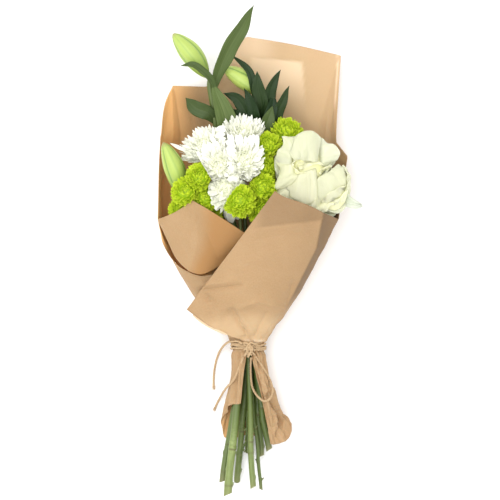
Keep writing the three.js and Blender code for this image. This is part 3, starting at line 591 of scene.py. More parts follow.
# The routes of the free ends and the bow loop, from the knot outwards.
TAIL_LEFT = [
    (-0.020, -0.107, 0.0486), (-0.025, -0.1046, 0.0446), (-0.030, -0.1045, 0.039),
    (-0.0358, -0.106, 0.029), (-0.040, -0.109, 0.018), (-0.044, -0.1135, 0.0085),
    (-0.048, -0.1205, 0.003), (-0.0515, -0.131, 0.0017), (-0.054, -0.147, 0.0017),
    (-0.054, -0.164, 0.0016),
]
TAIL_FRONT = [
    (-0.019, -0.123, 0.0462), (-0.0225, -0.132, 0.045), (-0.0265, -0.142, 0.0439),
    (-0.030, -0.149, 0.040), (-0.0334, -0.1538, 0.034), (-0.0376, -0.1585, 0.023),
    (-0.0415, -0.164, 0.0115), (-0.0455, -0.171, 0.004), (-0.050, -0.1795, 0.0018),
    (-0.054, -0.189, 0.0016),
]
BOW_LOOP = [
    (-0.010, -0.1235, 0.0462), (-0.0105, -0.131, 0.0404), (-0.0105, -0.140, 0.0374),
    (-0.010, -0.149, 0.0369), (-0.0086, -0.1575, 0.0376), (-0.005, -0.165, 0.0414),
    (0.000, -0.1705, 0.0456), (0.005, -0.1736, 0.0472), (0.010, -0.1726, 0.0468),
    (0.014, -0.1675, 0.0438), (0.0152, -0.161, 0.0402), (0.0136, -0.154, 0.0384),
    (0.011, -0.1475, 0.0391), (0.007, -0.1405, 0.0415), (0.0025, -0.133, 0.0438),
    (-0.002, -0.1265, 0.0446), (-0.005, -0.122, 0.0462),
]

# The tie: three turns round the neck, and the strands of the knot on top of it.
NECK = mm([-13, -111, 24.5])
TIE_RING = 0.01975  # the radius of its turns
TIE_TURNS = 3
TIE_PITCH = 0.0027
KNOT = NECK + mm([1, -2, 21.75])
KNOT_STRANDS = [
    mm([[-6.5, 5.5, -1.4], [-3, 3, 1.2], [0.5, -1, 2.8], [4, -5, 1.0], [6.5, -8, -1.2]]),
    mm([[6.5, 4.5, -1.4], [3, 2.5, 1.0], [-0.5, -0.5, 3.6], [-3, -4, 1.6], [-5.5, -8.5, -0.6]]),
    mm([[-6, -1.5, -0.8], [-3, 0.6, 2.6], [0, 1.6, 4.2], [3, 0.4, 2.6], [6, -2.4, -0.6]]),
    mm([[-9, 6, -1.6], [-4.5, 6.8, 1.6], [0, 4.6, 3.4], [3.2, 0.6, 4.8], [1.5, -4.5, 3.4], [-3, -6.4, 1.2]]),
    mm([[9, 3.6, -1.8], [5.4, 5.8, 1.2], [1.2, 6.4, 2.6], [-2.6, 2.4, 4.4], [-2.2, -3.2, 3.8],
        [2.8, -7.5, 1.0]]),
    mm([[-3.4, 8, -0.8], [-1.6, 4, 2.4], [1.4, -0.6, 5.2], [0.6, -5.4, 3.6], [-1.8, -9.6, 0.6]]),
]


def twisted(piece, line, seed, loosen=0.0):
    """Three strands laid round each other along a line, which part a little at a loose end."""
    _, side, up = frames(line)
    distance = steps_of(line)
    left = distance[-1] - distance
    spread = 1 + loosen * smooth(1 - left / LOOSE_END)
    angle = turns(8)
    rng = np.random.default_rng(seed)
    for strand in range(3):
        turn = 2 * np.pi * (strand / 3 + distance / TWIST)
        offset = STRAND_OFFSET * spread * (1 + 0.05 * sway(line, 0.02, seed + strand))
        centre = line + offset[:, None] * (np.cos(turn)[:, None] * side + np.sin(turn)[:, None] * up)
        rough = 1 + 0.07 * sway(centre, 0.004, seed + 7 + strand)
        radius = STRAND * rough * mix(1, 1 - 0.6 * loosen, smooth(1 - left / FRAYED_END))
        rings = rings_round(centre, side, up, angle, radius[:, None, None])
        piece.tube(rings, round=angle / (2 * np.pi), length=distance[:, None], tone=rng.uniform())


def fibres(piece, line, count, seed, longest=0.005):
    """Stray hairs that stand off the twine."""
    rng = np.random.default_rng(seed)
    along, side, up = frames(line)
    radius = np.linspace(*HAIR_RADII, 6)[:, None, None]
    for _ in range(count):
        i = rng.integers(1, len(line) - 1)
        turn = rng.uniform(0, 2 * np.pi)
        out = np.cos(turn) * side[i] + np.sin(turn) * up[i]
        way = unit(along[i] * rng.choice([-1, 1]) + out * rng.uniform(0.25, 0.9))
        reach = rng.uniform(0.3, 1) ** 2 * longest
        start = line[i] + out * TWINE * 0.42
        if start[2] + way[2] * reach < TABLE_CLEARANCE:
            continue
        bend = unit(rng.normal(size=3)) * reach * 0.25
        hair = Route([start, start + way * reach * 0.5 + bend * 0.5, start + way * reach + bend])
        points = hair.even(np.linspace(0, 1, 6))
        points[:, 2] = np.maximum(points[:, 2], 0.0002)
        _, across, above = frames(points)
        piece.tube(rings_round(points, across, above, turns(3), radius), tone=rng.uniform())


def make_twine():
    """The two tails, the bow loop, and the tie with its knot, all with stray fibres."""
    hairs = Piece()
    ends = [
        ("twine_left_tail", "twine_tail_left", TAIL_LEFT, "bare", 1.0),
        ("twine_front_tail", "twine_tail_front", TAIL_FRONT, "bare", 1.0),
        ("twine_bow", "twine_bow_loop", BOW_LOOP, "object", 0.0),
    ]
    for seed, (name, node, points, far_end, loosen) in enumerate(ends):
        route = Route(points)
        line = route.even(np.linspace(0, 1, int(route.length / 0.0005)))
        cord = Piece()
        twisted(cord, line, 20 + seed, loosen)
        made = cord.make(name, JUTE_FINISH, [node])
        fibres(hairs, line, 110, 40 + seed)
        if far_end == "bare":
            fibres(hairs, line[-12:], 26, 60 + seed, 0.008)
    tie = Piece()
    share = np.linspace(0, 1, 700)
    turn = 2 * np.pi * TIE_TURNS * share
    drift = 0.0009 * np.sin(2.3 * turn) * np.sin(np.pi * share) + 0.0005 * np.sin(5.1 * turn)
    climb = (share - 0.5) * TIE_TURNS * TIE_PITCH + drift
    winding = NECK + np.stack([np.sin(turn) * TIE_RING, climb, np.cos(turn) * TIE_RING], -1)
    twisted(tie, winding, 31)
    fibres(hairs, winding, 150, 45)
    for k, strand in enumerate(KNOT_STRANDS):
        line = Route(strand + KNOT).even(np.linspace(0, 1, 44))
        twisted(tie, line, 33 + k)
        fibres(hairs, line, 22, 50 + k)
    tie.make("twine_winding", JUTE_FINISH, ["twine_tie"])
    hairs.make("twine_stray_fibres", JUTE_FINISH)


make_twine()

# ---------------------------------------------------------------- the paper wrap

PAPER = 0.0005  # its thickness
NECK_PAPER = 0.0172  # the radius of the neck
NECK_HALF = 0.0046  # half the length of the neck
PLEATS = 9
PLEAT_DEPTH = 0.0007
SHEET_WIDTH = 0.43  # across which the paper's grain and crumples are laid out
MIDDLE_LINE = 9  # the line up the middle of the back
PLEAT_RUN = 0.006  # how far the neck's pleats reach on each side of the tie

# The nets of facets that the paper is crumpled into: spacing, height and seed.
BROAD_FACETS = [(0.078, 0.0026, 3), (0.036, 0.0011, 4)]
SMALL_FACETS = [(0.023, 0.0017, 5), (0.011, 0.0008, 6)]
SMALLEST_FACETS = [(0.0075, 0.0010, 7)]  # only where it is crumpled most

# Lines from the neck to the sheet's edge, from the left free edge round the back to the right one.
CONE = mm([
    [[-23, -86, 48], [-32, -56, 58], [-43, -39, 63], [-51, -31, 65], [-55, -27, 66]],
    [[-44, -78, 45], [-55, -52, 55], [-63, -38, 59], [-69, -31, 60], [-71, -28, 61]],
    [[-60, -71, 38], [-77, -45, 44], [-88, -28, 48], [-92, -20, 50], [-94, -16, 51]],
    [[-70, -63, 26], [-93, -24, 33], [-104, -6, 40], [-109, 5, 43], [-111, 9, 45]],
    [[-66, -61, 17], [-100, -13, 24], [-112, 15, 38], [-116, 29, 52], [-117, 37, 58]],
    [[-62, -59, 9], [-93, -7, 11], [-110, 34, 26], [-117, 82, 46], [-115, 117, 54]],
    [[-55, -58, 4], [-82, -5, 3], [-98, 42, 8], [-109, 118, 28], [-110, 172, 39]],
    [[-45, -58, 1], [-65, -5, 0], [-77, 42, 0], [-91, 119, 8], [-101, 193, 28]],
    [[-32, -58, 0], [-44, -5, 0], [-54, 42, 0], [-61, 119, 0], [-62, 193, 12]],
    [[-16, -58, 0], [-19, -5, 0], [-23, 42, 0], [-23, 119, 0], [-16, 251, 20]],
    [[3, -58, 0], [6, -5, 0], [10, 42, 0], [19, 119, 0], [38, 243, 9]],
    [[18, -58, 3], [31, -5, 2], [43, 42, 1], [62, 119, 5], [95, 229, 20]],
    [[31, -58, 11], [50, -5, 11], [66, 42, 12], [80, 101, 24], [88, 127, 34]],
    [[39, -57, 24], [62, -8, 28], [82, 34, 34], [94, 77, 42], [100, 110, 48]],
    [[42, -59, 40], [66, -13, 48], [84, 22, 58], [88, 31, 62], [90, 37, 66]],
    [[33, -61, 60], [51, -13, 76], [66, 26, 84], [73, 40, 88], [75, 43, 90]],
    [[12, -65, 70], [27, -12, 92], [43, 33, 102], [50, 49, 106], [52, 53, 107]],
    [[-16, -72, 68], [-11, -22, 92], [14, 28, 106], [22, 53, 110], [26, 62, 111]],
    [[-52, -90, 52], [-84, -67, 58], [-50, -22, 84], [-16, 23, 100], [17, 68, 112]],
])
MOUTH_CORNERS = [4, 7, 8, 9, 11, 12, 13, 14]  # lines that end in a corner of the sheet's edge
FRONT_CORNER = 2  # the point of the last line where the front panel's low left corner is

# The same lines below the tie, down to the skirt's hem.
SKIRT = [mm(line) for line in [
    [[-18, -138, 45], [-22, -177, 40]], [[-23, -138, 44], [-26, -178, 38]],
    [[-28, -139, 38], [-33, -179, 31]], [[-32, -141, 28], [-38, -182, 22]],
    [[-32, -143, 19], [-41, -190, 14]], [[-31, -145, 12], [-45, -203, 8]],
    [[-28, -147, 7], [-42, -219, 3]], [[-23, -149, 4], [-34, -222, 1]],
    [[-18, -149, 3], [-24, -219, 0.5]], [[-12, -149, 3], [-15, -217, 0.5]],
    [[-7, -149, 3], [-5, -218, 0.5]], [[-2, -149, 5], [4, -218, 1]],
    [[2, -148, 9], [14, -217, 4]], [[7, -147, 16], [26, -213, 11]],
    [[11, -148, 25], [23.5, -184, 21], [25.5, -189, 22], [32, -192.5, 27], [36.8, -201, 33]],
    [[10, -147, 35], [23.5, -187, 29], [26.5, -193, 30], [32.5, -200, 34], [36, -213, 39]],
    [[5, -144, 43], [19, -194, 36], [30, -221, 40]], [[0, -142, 46], [20, -224, 41]],
    [[-5, -140, 46], [13, -224, 40]],
]]
HEM_CORNERS = [3, 6, 16]

# The corner folded over the left front, from its lower edge up to its top edge.
FOLDED_CORNER = mm([
    [[-116.4, 33, 57], [-116.8, 35, 58], [-117, 37, 58.5]],
    [[-106, 10.5, 64.5], [-104.5, 25, 71], [-106, 41, 67]],
    [[-96, -9.5, 70.5], [-89, 17, 82], [-93, 47, 77]],
    [[-81, -24, 72.5], [-71, 13, 91], [-77, 58, 86]],
    [[-66, -27, 73], [-52, 6, 86], [-52, 43, 91]],
    [[-43, -16, 72], [-31, 3, 80], [-15, 19, 86]],
])
FOLD_PEAK = 3  # the line that ends in the corner's own tip

# The lower edge of the front panel, which is turned under in a narrow roll.
TURNED_EDGE = mm([[-77, -73.5, 56], [-70, -79.5, 54], [-60, -86, 51], [-49, -91.5, 50.5], [-38, -96.5, 50]])

# Creases, as seen from above: two ends, depth and width. A ridge has a depth below zero.
CREASES = [
    (-4, 24, 52, 31, -2.8, 8), (-12, 12, 46, 21, 1.6, 10),
    (71, 43, 64, 3, -3.4, 5), (64, 3, 36, -56, -2.4, 5),
    (-69, -46, -20, -39, 4.2, 3.0), (-70, -40, -30, -34, -2.4, 4.5), (-66, -47, -46, -66, 3.2, 3.2),
    (-60, -50, -53, -86, 3.6, 3.6), (-33, -66, -15, -97, 7.0, 2.8), (-26, -62, -7, -94, -3.4, 3.5),
    (-22, -64, -3, -56, -3.6, 3.4), (-3, -56, 33, -66, -3.4, 3.6), (30, -67, 40, -36, 2.8, 3.6),
    (-6, -98, 8, -70, 2.6, 3), (12, -92, 26, -72, 2.0, 3), (-46, -95, -38, -72, 1.8, 4),
    (-50, -58, -40, -88, -1.8, 4), (-18, -98, -22, -80, -1.6, 2.5), (0, -98, 14, -84, -1.6, 2.5),
    (20, -10, 48, -44, 1.2, 8), (-30, -20, 6, -6, -1.4, 9), (38, 60, 46, 26, 1.0, 7),
    (-5, 229, 52, 226, -1.6, 7), (51, 228, 56, 150, -2.0, 9), (92, 224, 86, 132, -1.8, 4),
    (20, 215, 4, 140, 1.6, 12), (-103, 188, -103, 128, -2.0, 7), (-85, 186, -70, 110, 1.8, 8),
    (-60, 20, -45, -15, 1.0, 6), (-1, -144, 10, -208, 4.2, 2.0), (5, -156, 14, -202, -3.4, 2.2),
    (9, -165, 24, -194, 4.8, 2.0), (24, -194, 19, -216, 4.2, 2.0), (28, -196, 28, -216, -3.0, 2.8),
    (2, -172, 15, -161, 2.6, 2.0), (9, -194, 22, -184, -2.6, 2.0), (12, -210, 20, -200, 2.6, 2.0),
    (-27, -130, -30, -172, 2.8, 2.0), (-22, -128, -23, -160, -2.2, 2.0),
]


def neck_point(place, along, radius=NECK_PAPER):
    """The neck is a ring that is open by a slit at the front."""
    turn = np.radians(mix(176, -176, place))
    return NECK + np.stack([-np.sin(turn) * radius, along + 0 * turn, -np.cos(turn) * radius], -1)


def facets(spots, spacing, seed):
    """Heights from -1 to 1, plane within each triangle of a random net, whose sides are then creases."""
    rng = np.random.default_rng(seed)
    low, high = spots.min(0) - 2 * spacing, spots.max(0) + 2 * spacing
    x, y = np.meshgrid(np.arange(low[0], high[0], spacing), np.arange(low[1], high[1], spacing))
    knots = np.stack([x, y], -1).reshape(-1, 2)
    knots = knots + rng.uniform(-0.45, 0.45, knots.shape) * spacing
    heights = rng.uniform(-1, 1, len(knots))
    corners, _, triangles, source, *_ = geometry.delaunay_2d_cdt([Vector(p) for p in knots], [], [], 0, 1e-9)
    raised = [(p.x, p.y, heights[ids[0]]) for p, ids in zip(corners, source)]
    net = BVHTree.FromPolygons(raised, triangles)
    down = Vector((0, 0, -1))
    return np.array([net.ray_cast(Vector((u, v, 9)), down)[0].z for u, v in spots])


def crease_heights(grid):
    """How far the listed creases push each point down, seen from above."""
    total = np.zeros(grid.shape[:2])
    for x0, y0, x1, y1, depth, width in CREASES:
        start, end = mm([x0, y0]), mm([x1, y1])
        share = ((grid[..., :2] - start) @ (end - start)) / ((end - start) @ (end - start))
        nearest = start + np.clip(share, 0, 1)[..., None] * (end - start)
        apart = np.linalg.norm(grid[..., :2] - nearest, axis=-1)
        fade = smooth(np.clip(np.minimum(share + 0.15, 1.15 - share), 0, 0.3) / 0.3)
        total += depth / 1000 * np.exp(-apart / (width / 1000)) * fade
    return total


def crumple(grid, flat, broad, crumpled, outward):
    """A sheet's points, moved off its smooth shape by facets, creases and its own outward folds."""
    rows, columns, _ = grid.shape
    normal = unit(np.cross(np.gradient(grid, axis=1), np.gradient(grid, axis=0)))
    spots = flat.reshape(-1, 2)

    def relief(nets):
        return sum(high * facets(spots, spacing, seed).reshape(rows, columns) for spacing, high, seed in nets)

    height = broad * relief(BROAD_FACETS) + crumpled * relief(SMALL_FACETS)
    height = height + np.clip(crumpled - 0.8, 0, 1) * relief(SMALLEST_FACETS)
    height = height - crease_heights(grid) * np.sign(normal[..., 2]) + outward
    moved = grid + normal * height[..., None]
    moved[..., 2] = np.maximum(moved[..., 2], PAPER / 2)
    return moved


def wrap_part(lines, way, rows, columns, corners, last_corner=()):
    """The sheet from the middle of the neck to its edge, how it lies flat, the place of each column round
    it and the distance of each row from the middle. way is 1 for the cone and -1 for the skirt."""
    place = np.linspace(0, 1, columns)
    last = len(lines) - 1
    shares = np.linspace(0, 1, rows)
    routes = [
        Route([neck_point(k / last, way * NECK_HALF), *line], last_corner if k == last else ())
        for k, line in enumerate(lines)
    ]
    points = np.array([route.even(shares) for route in routes])
    cross = []
    for r, share in enumerate(shares):
        sharp = smooth((share - 0.45) / 0.45)
        cross.append(mix(Route(points[:, r]).at(place), Route(points[:, r], corners).at(place), sharp))
    neck = [neck_point(place, way * NECK_HALF * t) for t in (0, 0.5)]
    distance = np.array([0, NECK_HALF / 2, *(NECK_HALF + shares * routes[MIDDLE_LINE].length)])
    flat = np.stack(np.broadcast_arrays(place[None] * SHEET_WIDTH, way * distance[:, None]), -1)
    return np.array([*neck, *cross]), flat, place[None], distance[:, None]


def gathers(place, distance, seed):
    """Folds that run away from the tie, more of them and less even than its pleats."""
    turn = place * 2 * np.pi
    drift = 0.6 * np.sin(distance / 0.013 + seed)
    folds = np.sin(PLEATS * turn + drift) + 0.7 * np.sin(14 * turn + 1.3 * seed - drift)
    return folds + 0.5 * np.sin(23 * turn + 2.1 * seed + 2 * drift)


def pinches(place, distance):
    """The pleats that the tie presses into the neck."""
    return PLEAT_DEPTH * np.sin(place * PLEATS * 2 * np.pi) * hump(distance, 0, PLEAT_RUN)


def off_free_edges(place, run):
    """0 at the sheet's two free edges, rising to 1 over a run."""
    return smooth((1 - abs(2 * place - 1)) / run)


def add_sheet(piece, grid, flat, crumpled, inner=1, inside=0.0, **tones):
    """A closed sheet, with a painted glow on its inner face that stands in for light from the rest of the
    paper, and tones of painted light, painted shade, warm painted shade and painted highlights. inner is 1 if
    the inner face is the upper one."""
    piece.blades(grid[None], PAPER, sheet_across=flat[..., 0], sheet_along=flat[..., 1],
                 crumpled=crumpled, inside=inside, **tones)
    values = piece.values[-1]
    values["inside"] = values["inside"] * (values["upper"] == inner)


def cone_tones(grid, place, distance):
    """Where the cone has a painted glow on its inner face, painted light, painted shade and painted
    highlights, as seen from above.
    """
    x, y = grid[..., 0] * 1000, grid[..., 1] * 1000
    front = after(place, 0.8, 0.04)
    back = after(place, 0.42, 0.05)
    # painted glow on the inner face of the cone's left side, standing in for light through the paper
    inside = before(place, 0.44, 0.08) * after(place, 0.08, 0.05) * after(distance, 0.04, 0.05)
    # painted light on the tall panel, and on the front just above the tie
    pale = after(place, 0.42, 0.06) * before(place, 0.68, 0.06) * after(distance, 0.1, 0.1)
    pale = np.maximum(pale, 0.9 * front * before(distance, 0.11, 0.05))
    # painted shade on the front above its level crease, and on the flap to the right of its long one
    above_crease = smooth((y - 24 - 0.125 * (x + 4)) / 4) * after(x, -12, 20)
    crease = np.minimum(67 + 0.18 * (y - 20), 64 + 0.5 * (y - 3))
    right_of_crease = after(x, crease - 1, 3) * mix(0.9, 0.76, after(x, crease, 16)) * after(y, -80, 40)
    dull = np.maximum(0.42 * front * above_crease, after(place, 0.74, 0.03) * right_of_crease)
    # painted light on the tall panel within its folds and on its left side, and painted highlights on its
    # line by the right edge and on a band above the tie
    below = np.maximum(230 - 0.084 * (x + 19) - y, 0.01)
    left_of = np.maximum(52 + 0.057 * (225 - y) - x, 0.01)
    bleached = smooth(below * left_of / (below + left_of) / 3) * after(x, -20, 14) * after(y, 150, 80)
    bleached = np.maximum(bleached, 0.75 * before(x, 30, 40) * after(y, 190, 50))
    edge_line = hump(x, 88.5 + 0.08 * (y - 177), 1.3) * after(y, 160, 20)
    bleached = np.maximum(bleached, 0.9 * edge_line) * back
    bleached = np.maximum(bleached, 0.8 * front * hump(distance, 0.0115, 0.005))
    return {"inside": inside, "pale": pale, "dull": dull, "bleached": bleached}


def make_cone():
    """The sheet above the tie."""
    grid, flat, place, distance = wrap_part(CONE, 1, 150, 320, MOUTH_CORNERS, [FRONT_CORNER])
    puff = 0.0012 * hump(distance, 0.012, 0.007)
    folds = 0.0014 * gathers(place, distance, 1) * after(distance, 0.004, 0.008) * np.exp(-distance / 0.022)
    crumpled = mix(0.1, 1.0, hump(distance, 0, 0.055)) * after(distance, 0.004, 0.02)
    outward = pinches(place, distance) + puff + folds * off_free_edges(place, 0.04)
    grid = crumple(grid, flat, smooth(distance / 0.09), crumpled, -outward)
    piece = Piece()
    add_sheet(piece, grid, flat, crumpled, **cone_tones(grid, place, distance))
    piece.make("kraft_cone", PAPER_FINISH, ["kraft_paper_wrap"])
    return grid


def make_skirt():
    """The sheet below the tie."""
    grid, flat, place, distance = wrap_part(SKIRT, -1, 80, 300, HEM_CORNERS)
    free_edge = off_free_edges(place, 0.05)
    depth = mix(0.0012, 0.0008, smooth(distance / 0.06)) * after(distance, 0.004, 0.008)
    folds = depth * gathers(place, distance, 3)
    lengthwise = np.sin(place * 150 + 2.5 * np.sin(distance / 0.017)) * after(place, 0.8, 0.1)
    finer = np.sin(place * 83 - 1.9 * np.sin(distance / 0.023)) * after(place, 0.78, 0.1)
    ruffle = np.sin(place * 41 + 0.6) * after(place, 0.66, 0.1) * after(distance, 0.066, 0.03)
    puff = 0.0009 * hump(distance, 0.011, 0.006)
    outward = pinches(place, distance) + (folds + 0.0007 * (lengthwise + 1.2 * finer)) * free_edge
    outward = outward + puff + 0.0022 * ruffle * free_edge
    crumpled = mix(0.5, 2.1, after(place, 0.7, 0.2)) * after(distance, 0.004, 0.01)
    grid = crumple(grid, flat, 0.4 * smooth(distance / 0.03), crumpled, outward)
    piece = Piece()
    # painted glow on the skirt's inner face, standing in for light through the paper
    inside = 0.6 * before(place, 0.62, 0.15) * after(place, 0.24, 0.08)
    add_sheet(piece, grid, flat, crumpled, inner=0, inside=inside)
    piece.make("kraft_skirt", PAPER_FINISH, ["kraft_paper_wrap"])


def make_folded_corner():
    """The corner of the sheet that is folded over the left front."""
    rows, columns = 110, 190
    up = np.linspace(0, 1, rows)
    across = np.linspace(0, 1, columns)
    lines = np.stack([Route(points).at(up) for points in FOLDED_CORNER], 1)
    grid = np.array([
        mix(Route(line).at(across), Route(line, [FOLD_PEAK]).at(across), mix(0.5, 1, share))
        for share, line in zip(up, lines)
    ])
    flat = np.stack(np.broadcast_arrays(across[None] * 0.14, 0.3 + 0.07 * up[:, None]), -1)
    crumpled = np.full(grid.shape[:2], 0.1)
    moved = crumple(grid, flat, 0.8, crumpled, 0)
    grid = grid + (moved - grid) * smooth(across / 0.1)[None, :, None]
    piece = Piece()
    # painted warm shade on the right part of the corner, where it turns away from the light
    add_sheet(piece, grid, flat, crumpled, warm=after(across[None], 0.52 + 0.1 * up[:, None], 0.22))
    piece.make("kraft_folded_corner", PAPER_FINISH, ["kraft_paper_wrap"])
    return grid


def make_turned_edge():
    """The narrow roll along the front panel's lower edge."""
    share = np.linspace(0, 1, 60)
    line = Route(TURNED_EDGE).even(share)
    along, _, _ = frames(line)
    up = np.tile([0, 0, 1.0], (len(line), 1))
    angle = np.radians(np.linspace(-70, 190, 15))
    radius = 0.0015 * (0.35 + 0.65 * np.sin(np.pi * np.clip(share, 0.02, 0.98)) ** 0.5)[:, None, None]
    grid = rings_round(line, unit(np.cross(along, up)), up, angle, radius)
    piece = Piece()
    flat = np.stack(np.broadcast_arrays(0.005 * angle[None], share[:, None] * 0.05), -1)
    # a painted highlight over the whole roll
    add_sheet(piece, grid, flat, np.ones(grid.shape[:2]), bleached=0.9)
    piece.make("kraft_turned_edge", PAPER_FINISH, ["kraft_paper_wrap"])


paper_walls = [make_cone(), make_folded_corner()]
make_skirt()
make_turned_edge()

# ---------------------------------------------------------------- where each head stands

ROSE = {"radius": 0.036, "height": 0.046}
WHITE = {"radius": 0.027, "height": 0.025}
GREEN = {"radius": 0.0165, "height": 0.018}
GAP = 0.00035  # between one head and the next, and between a head and its cup


class Head:
    """A flower head: its own +Z looks along facing, and its base lies behind its middle."""

    def __init__(self, node, kind, middle, facing, spin=0, scale=1.0):
        self.node, self.kind, self.scale = node, kind, scale
        self.middle = mm(middle)
        self.axis = unit(np.array(facing, float))
        turn = Vector((0, 0, 1)).rotation_difference(Vector(self.axis)).to_matrix()
        self.turn = np.array(turn @ Matrix.Rotation(math.radians(spin), 3, "Z"))
        self.base = self.middle - self.axis * kind["height"] * scale / 2
        self.reach = kind["radius"] * scale * 0.94

    def stand(self, points):
        """Points about the head's foot, where the head stands."""
        return points @ self.turn.T + self.base

    def place(self, points):
        """The same for points of its kind at full size, which take the head's own scale."""
        return self.stand(points * self.scale)


rose_heads = [
    Head("rose_1", ROSE, [49, 98, 79], [-0.1, 0.24, 0.97], 0, 1.1),
    Head("rose_2", ROSE, [81, 68, 70], [0.42, 0.1, 0.9], 40, 0.88),
]
white_sprays = {
    "white_spray_1": [
        ([-19, 133, 62], [0.1, 0.75, 0.66], 5, 1.0),
        ([-62, 120, 60], [-0.35, 0.7, 0.62], 12, 1.0),
    ],
    "white_spray_2": [
        ([-46, 97, 86], [-0.1, 0.3, 0.95], 0, 1.0),
        ([-18, 103, 84], [0.2, 0.35, 0.92], 9, 1.0),
        ([-39, 70, 84], [0.0, 0.2, 0.97], 20, 1.0),
    ],
}
green_sprays = {
    "green_spray_1": [
        ([-68, 84, 86], [-0.1, 0.35, 0.93], 0, 1.0),
        ([-84, 68, 78], [-0.3, 0.2, 0.93], 0, 1.0),
        ([-62, 62, 76], [0.1, 0.2, 0.97], 0, 1.0),
        ([-92, 48, 62], [-0.3, 0.1, 0.9], 0, 0.75),
        ([-55, 40, 66], [0.1, 0.1, 0.97], 0, 0.7),
    ],
    "green_spray_2": [
        ([9, 121, 66], [0.0, 0.5, 0.86], 0, 1.0),
        ([31, 137, 47], [0.1, 0.6, 0.75], 0, 1.1),
        ([4, 95, 72], [0.0, 0.35, 0.93], 0, 1.0),
        ([4, 73, 84], [0.1, 0.25, 0.95], 0, 1.0),
        ([-23, 58, 92], [-0.1, 0.2, 0.97], 0, 1.1),
        ([4, 46, 80], [0.1, 0.1, 0.98], 0, 1.0),
    ],
}


def spray_heads(sprays, kind):
    """The heads of each spray, numbered from 1."""
    return {
        name: [Head(f"{name}_bloom_{k + 1}", kind, *head) for k, head in enumerate(heads)]
        for name, heads in sprays.items()
    }


white_heads = spray_heads(white_sprays, WHITE)
green_heads = spray_heads(green_sprays, GREEN)
all_heads = [*rose_heads, *sum(white_heads.values(), []), *sum(green_heads.values(), [])]

BUDS = {
    "lily_bud_1": {"foot": mm([-61, 203, 46]), "tip": mm([-100, 251, 53]), "radius": 0.0125},
    "lily_bud_2": {"foot": mm([5, 183, 34]), "tip": mm([-42, 213, 37]), "radius": 0.0115},
    "lily_bud_3": {"foot": mm([-88, 62, 52]), "tip": mm([-110, 124, 76]), "radius": 0.012},
}


# How thick a bud is along its length, as shares of its length and its radius.
BUD_PROFILE = [
    (0, 0.3, 0), (0.12, 0.62, 0), (0.35, 0.95, 0), (0.55, 1, 0), (0.78, 0.74, 0), (0.93, 0.4, 0), (1, 0.1, 0),
]


def walls_net():
    """The paper and the buds as one net that rays can hit."""
    points, faces, count = [], [], 0
    buds = [bud_rings(bud, 20, 18) for bud in BUDS.values()]
    for grid, closed in [*((wall, False) for wall in paper_walls), *((bud, True) for bud in buds)]:
        rows, columns, _ = grid.shape
        points.append(grid.reshape(-1, 3))
        faces.append(grid_quads(rows, columns, closed) + count)
        count += rows * columns
    return BVHTree.FromPolygons(np.concatenate(points).tolist(), np.concatenate(faces).tolist())


def seams(angle, shift, width):
    """1 along three lines up a bud, which lie a shift of the way from one to the next, and 0 off them."""
    return hump((angle / (2 * np.pi) * 3 + shift) % 1, 0.5, width)


def bud_rings(bud, rows, sides):
    """Rings of a closed bud: three broad ribs, and a groove where each pair of petals meets."""
    share = np.linspace(0, 1, rows)
    profile = Route(BUD_PROFILE).at(np.linspace(0, 1, 200))
    radius = np.interp(share, profile[:, 0], profile[:, 1]) * bud["radius"]
    angle = turns(sides)
    rib = 1 + 0.05 * np.cos(3 * angle + np.pi) - 0.09 * seams(angle, 0.5, 0.07)
    axis = unit(bud["tip"] - bud["foot"])
    turn = np.array(Vector((0, 0, 1)).rotation_difference(Vector(axis)).to_matrix())
    length = np.linalg.norm(bud["tip"] - bud["foot"])
    round_bud = radius[:, None] * mix(1, rib[None], smooth(share * 4)[:, None])
    rings = around_axis(angle[None], round_bud, share[:, None] * length)
    rings[..., 0] += 0.03 * length * np.sin(np.pi * share)[:, None]  # a slight bow
    return rings @ turn.T + bud["foot"]


WALLS = walls_net()
WALL_GAP = 0.0008  # between a head and the paper or a bud


def given_way(points, head, softness):
    """Points of a head, pushed back from its neighbours, the paper and the buds. softness is the share
    of the head's reach over which they start to give way."""
    shape = points.shape
    p = points.reshape(-1, 3).copy()
    margin = softness * head.reach
    for other in all_heads:
        apart = other.middle - head.middle
        distance = np.linalg.norm(apart)
        if other is head or distance > 1.3 * (head.reach + other.reach):
            continue
        towards = apart / distance
        limit = head.middle @ towards + distance * head.reach / (head.reach + other.reach) - GAP / 2
        past = p @ towards - limit + margin
        over = past > 0
        p[over] += towards * (margin * (1 - np.exp(-past[over] / margin)) - past[over])[:, None]
    centre = Vector(head.middle)
    for i, spot in enumerate(p):
        way = Vector(spot) - centre
        length = way.length
        if length < head.reach * 0.35:
            continue
        hit = WALLS.ray_cast(centre, way, length + WALL_GAP)
        if hit[3] is not None:
            p[i] = centre + way * ((hit[3] - WALL_GAP) / length)
    return p.reshape(shape)


# ---------------------------------------------------------------- roses

# The core of tightly packed petals inside a rose, from foot to top: distance from the axis and height, as
# shares of the rose's radius and height.
ROSE_CORE = [
    (0.10, 0.08), (0.46, 0.20), (0.72, 0.38), (0.70, 0.52),
    (0.52, 0.66), (0.32, 0.78), (0.15, 0.86), (0.02, 0.88),
]

# Petals low down round the outside: turn, half the angle, and the distance and height of the rim.
ROSE_OUTER = [
    (20, 46, 0.78, 0.56), (92, 46, 0.78, 0.56), (165, 46, 0.78, 0.56),
    (235, 46, 0.76, 0.56), (306, 46, 0.72, 0.56),
    (55, 44, 0.86, 0.42), (128, 44, 0.86, 0.42), (200, 44, 0.84, 0.42),
    (270, 44, 0.76, 0.42), (342, 44, 0.88, 0.42),
]
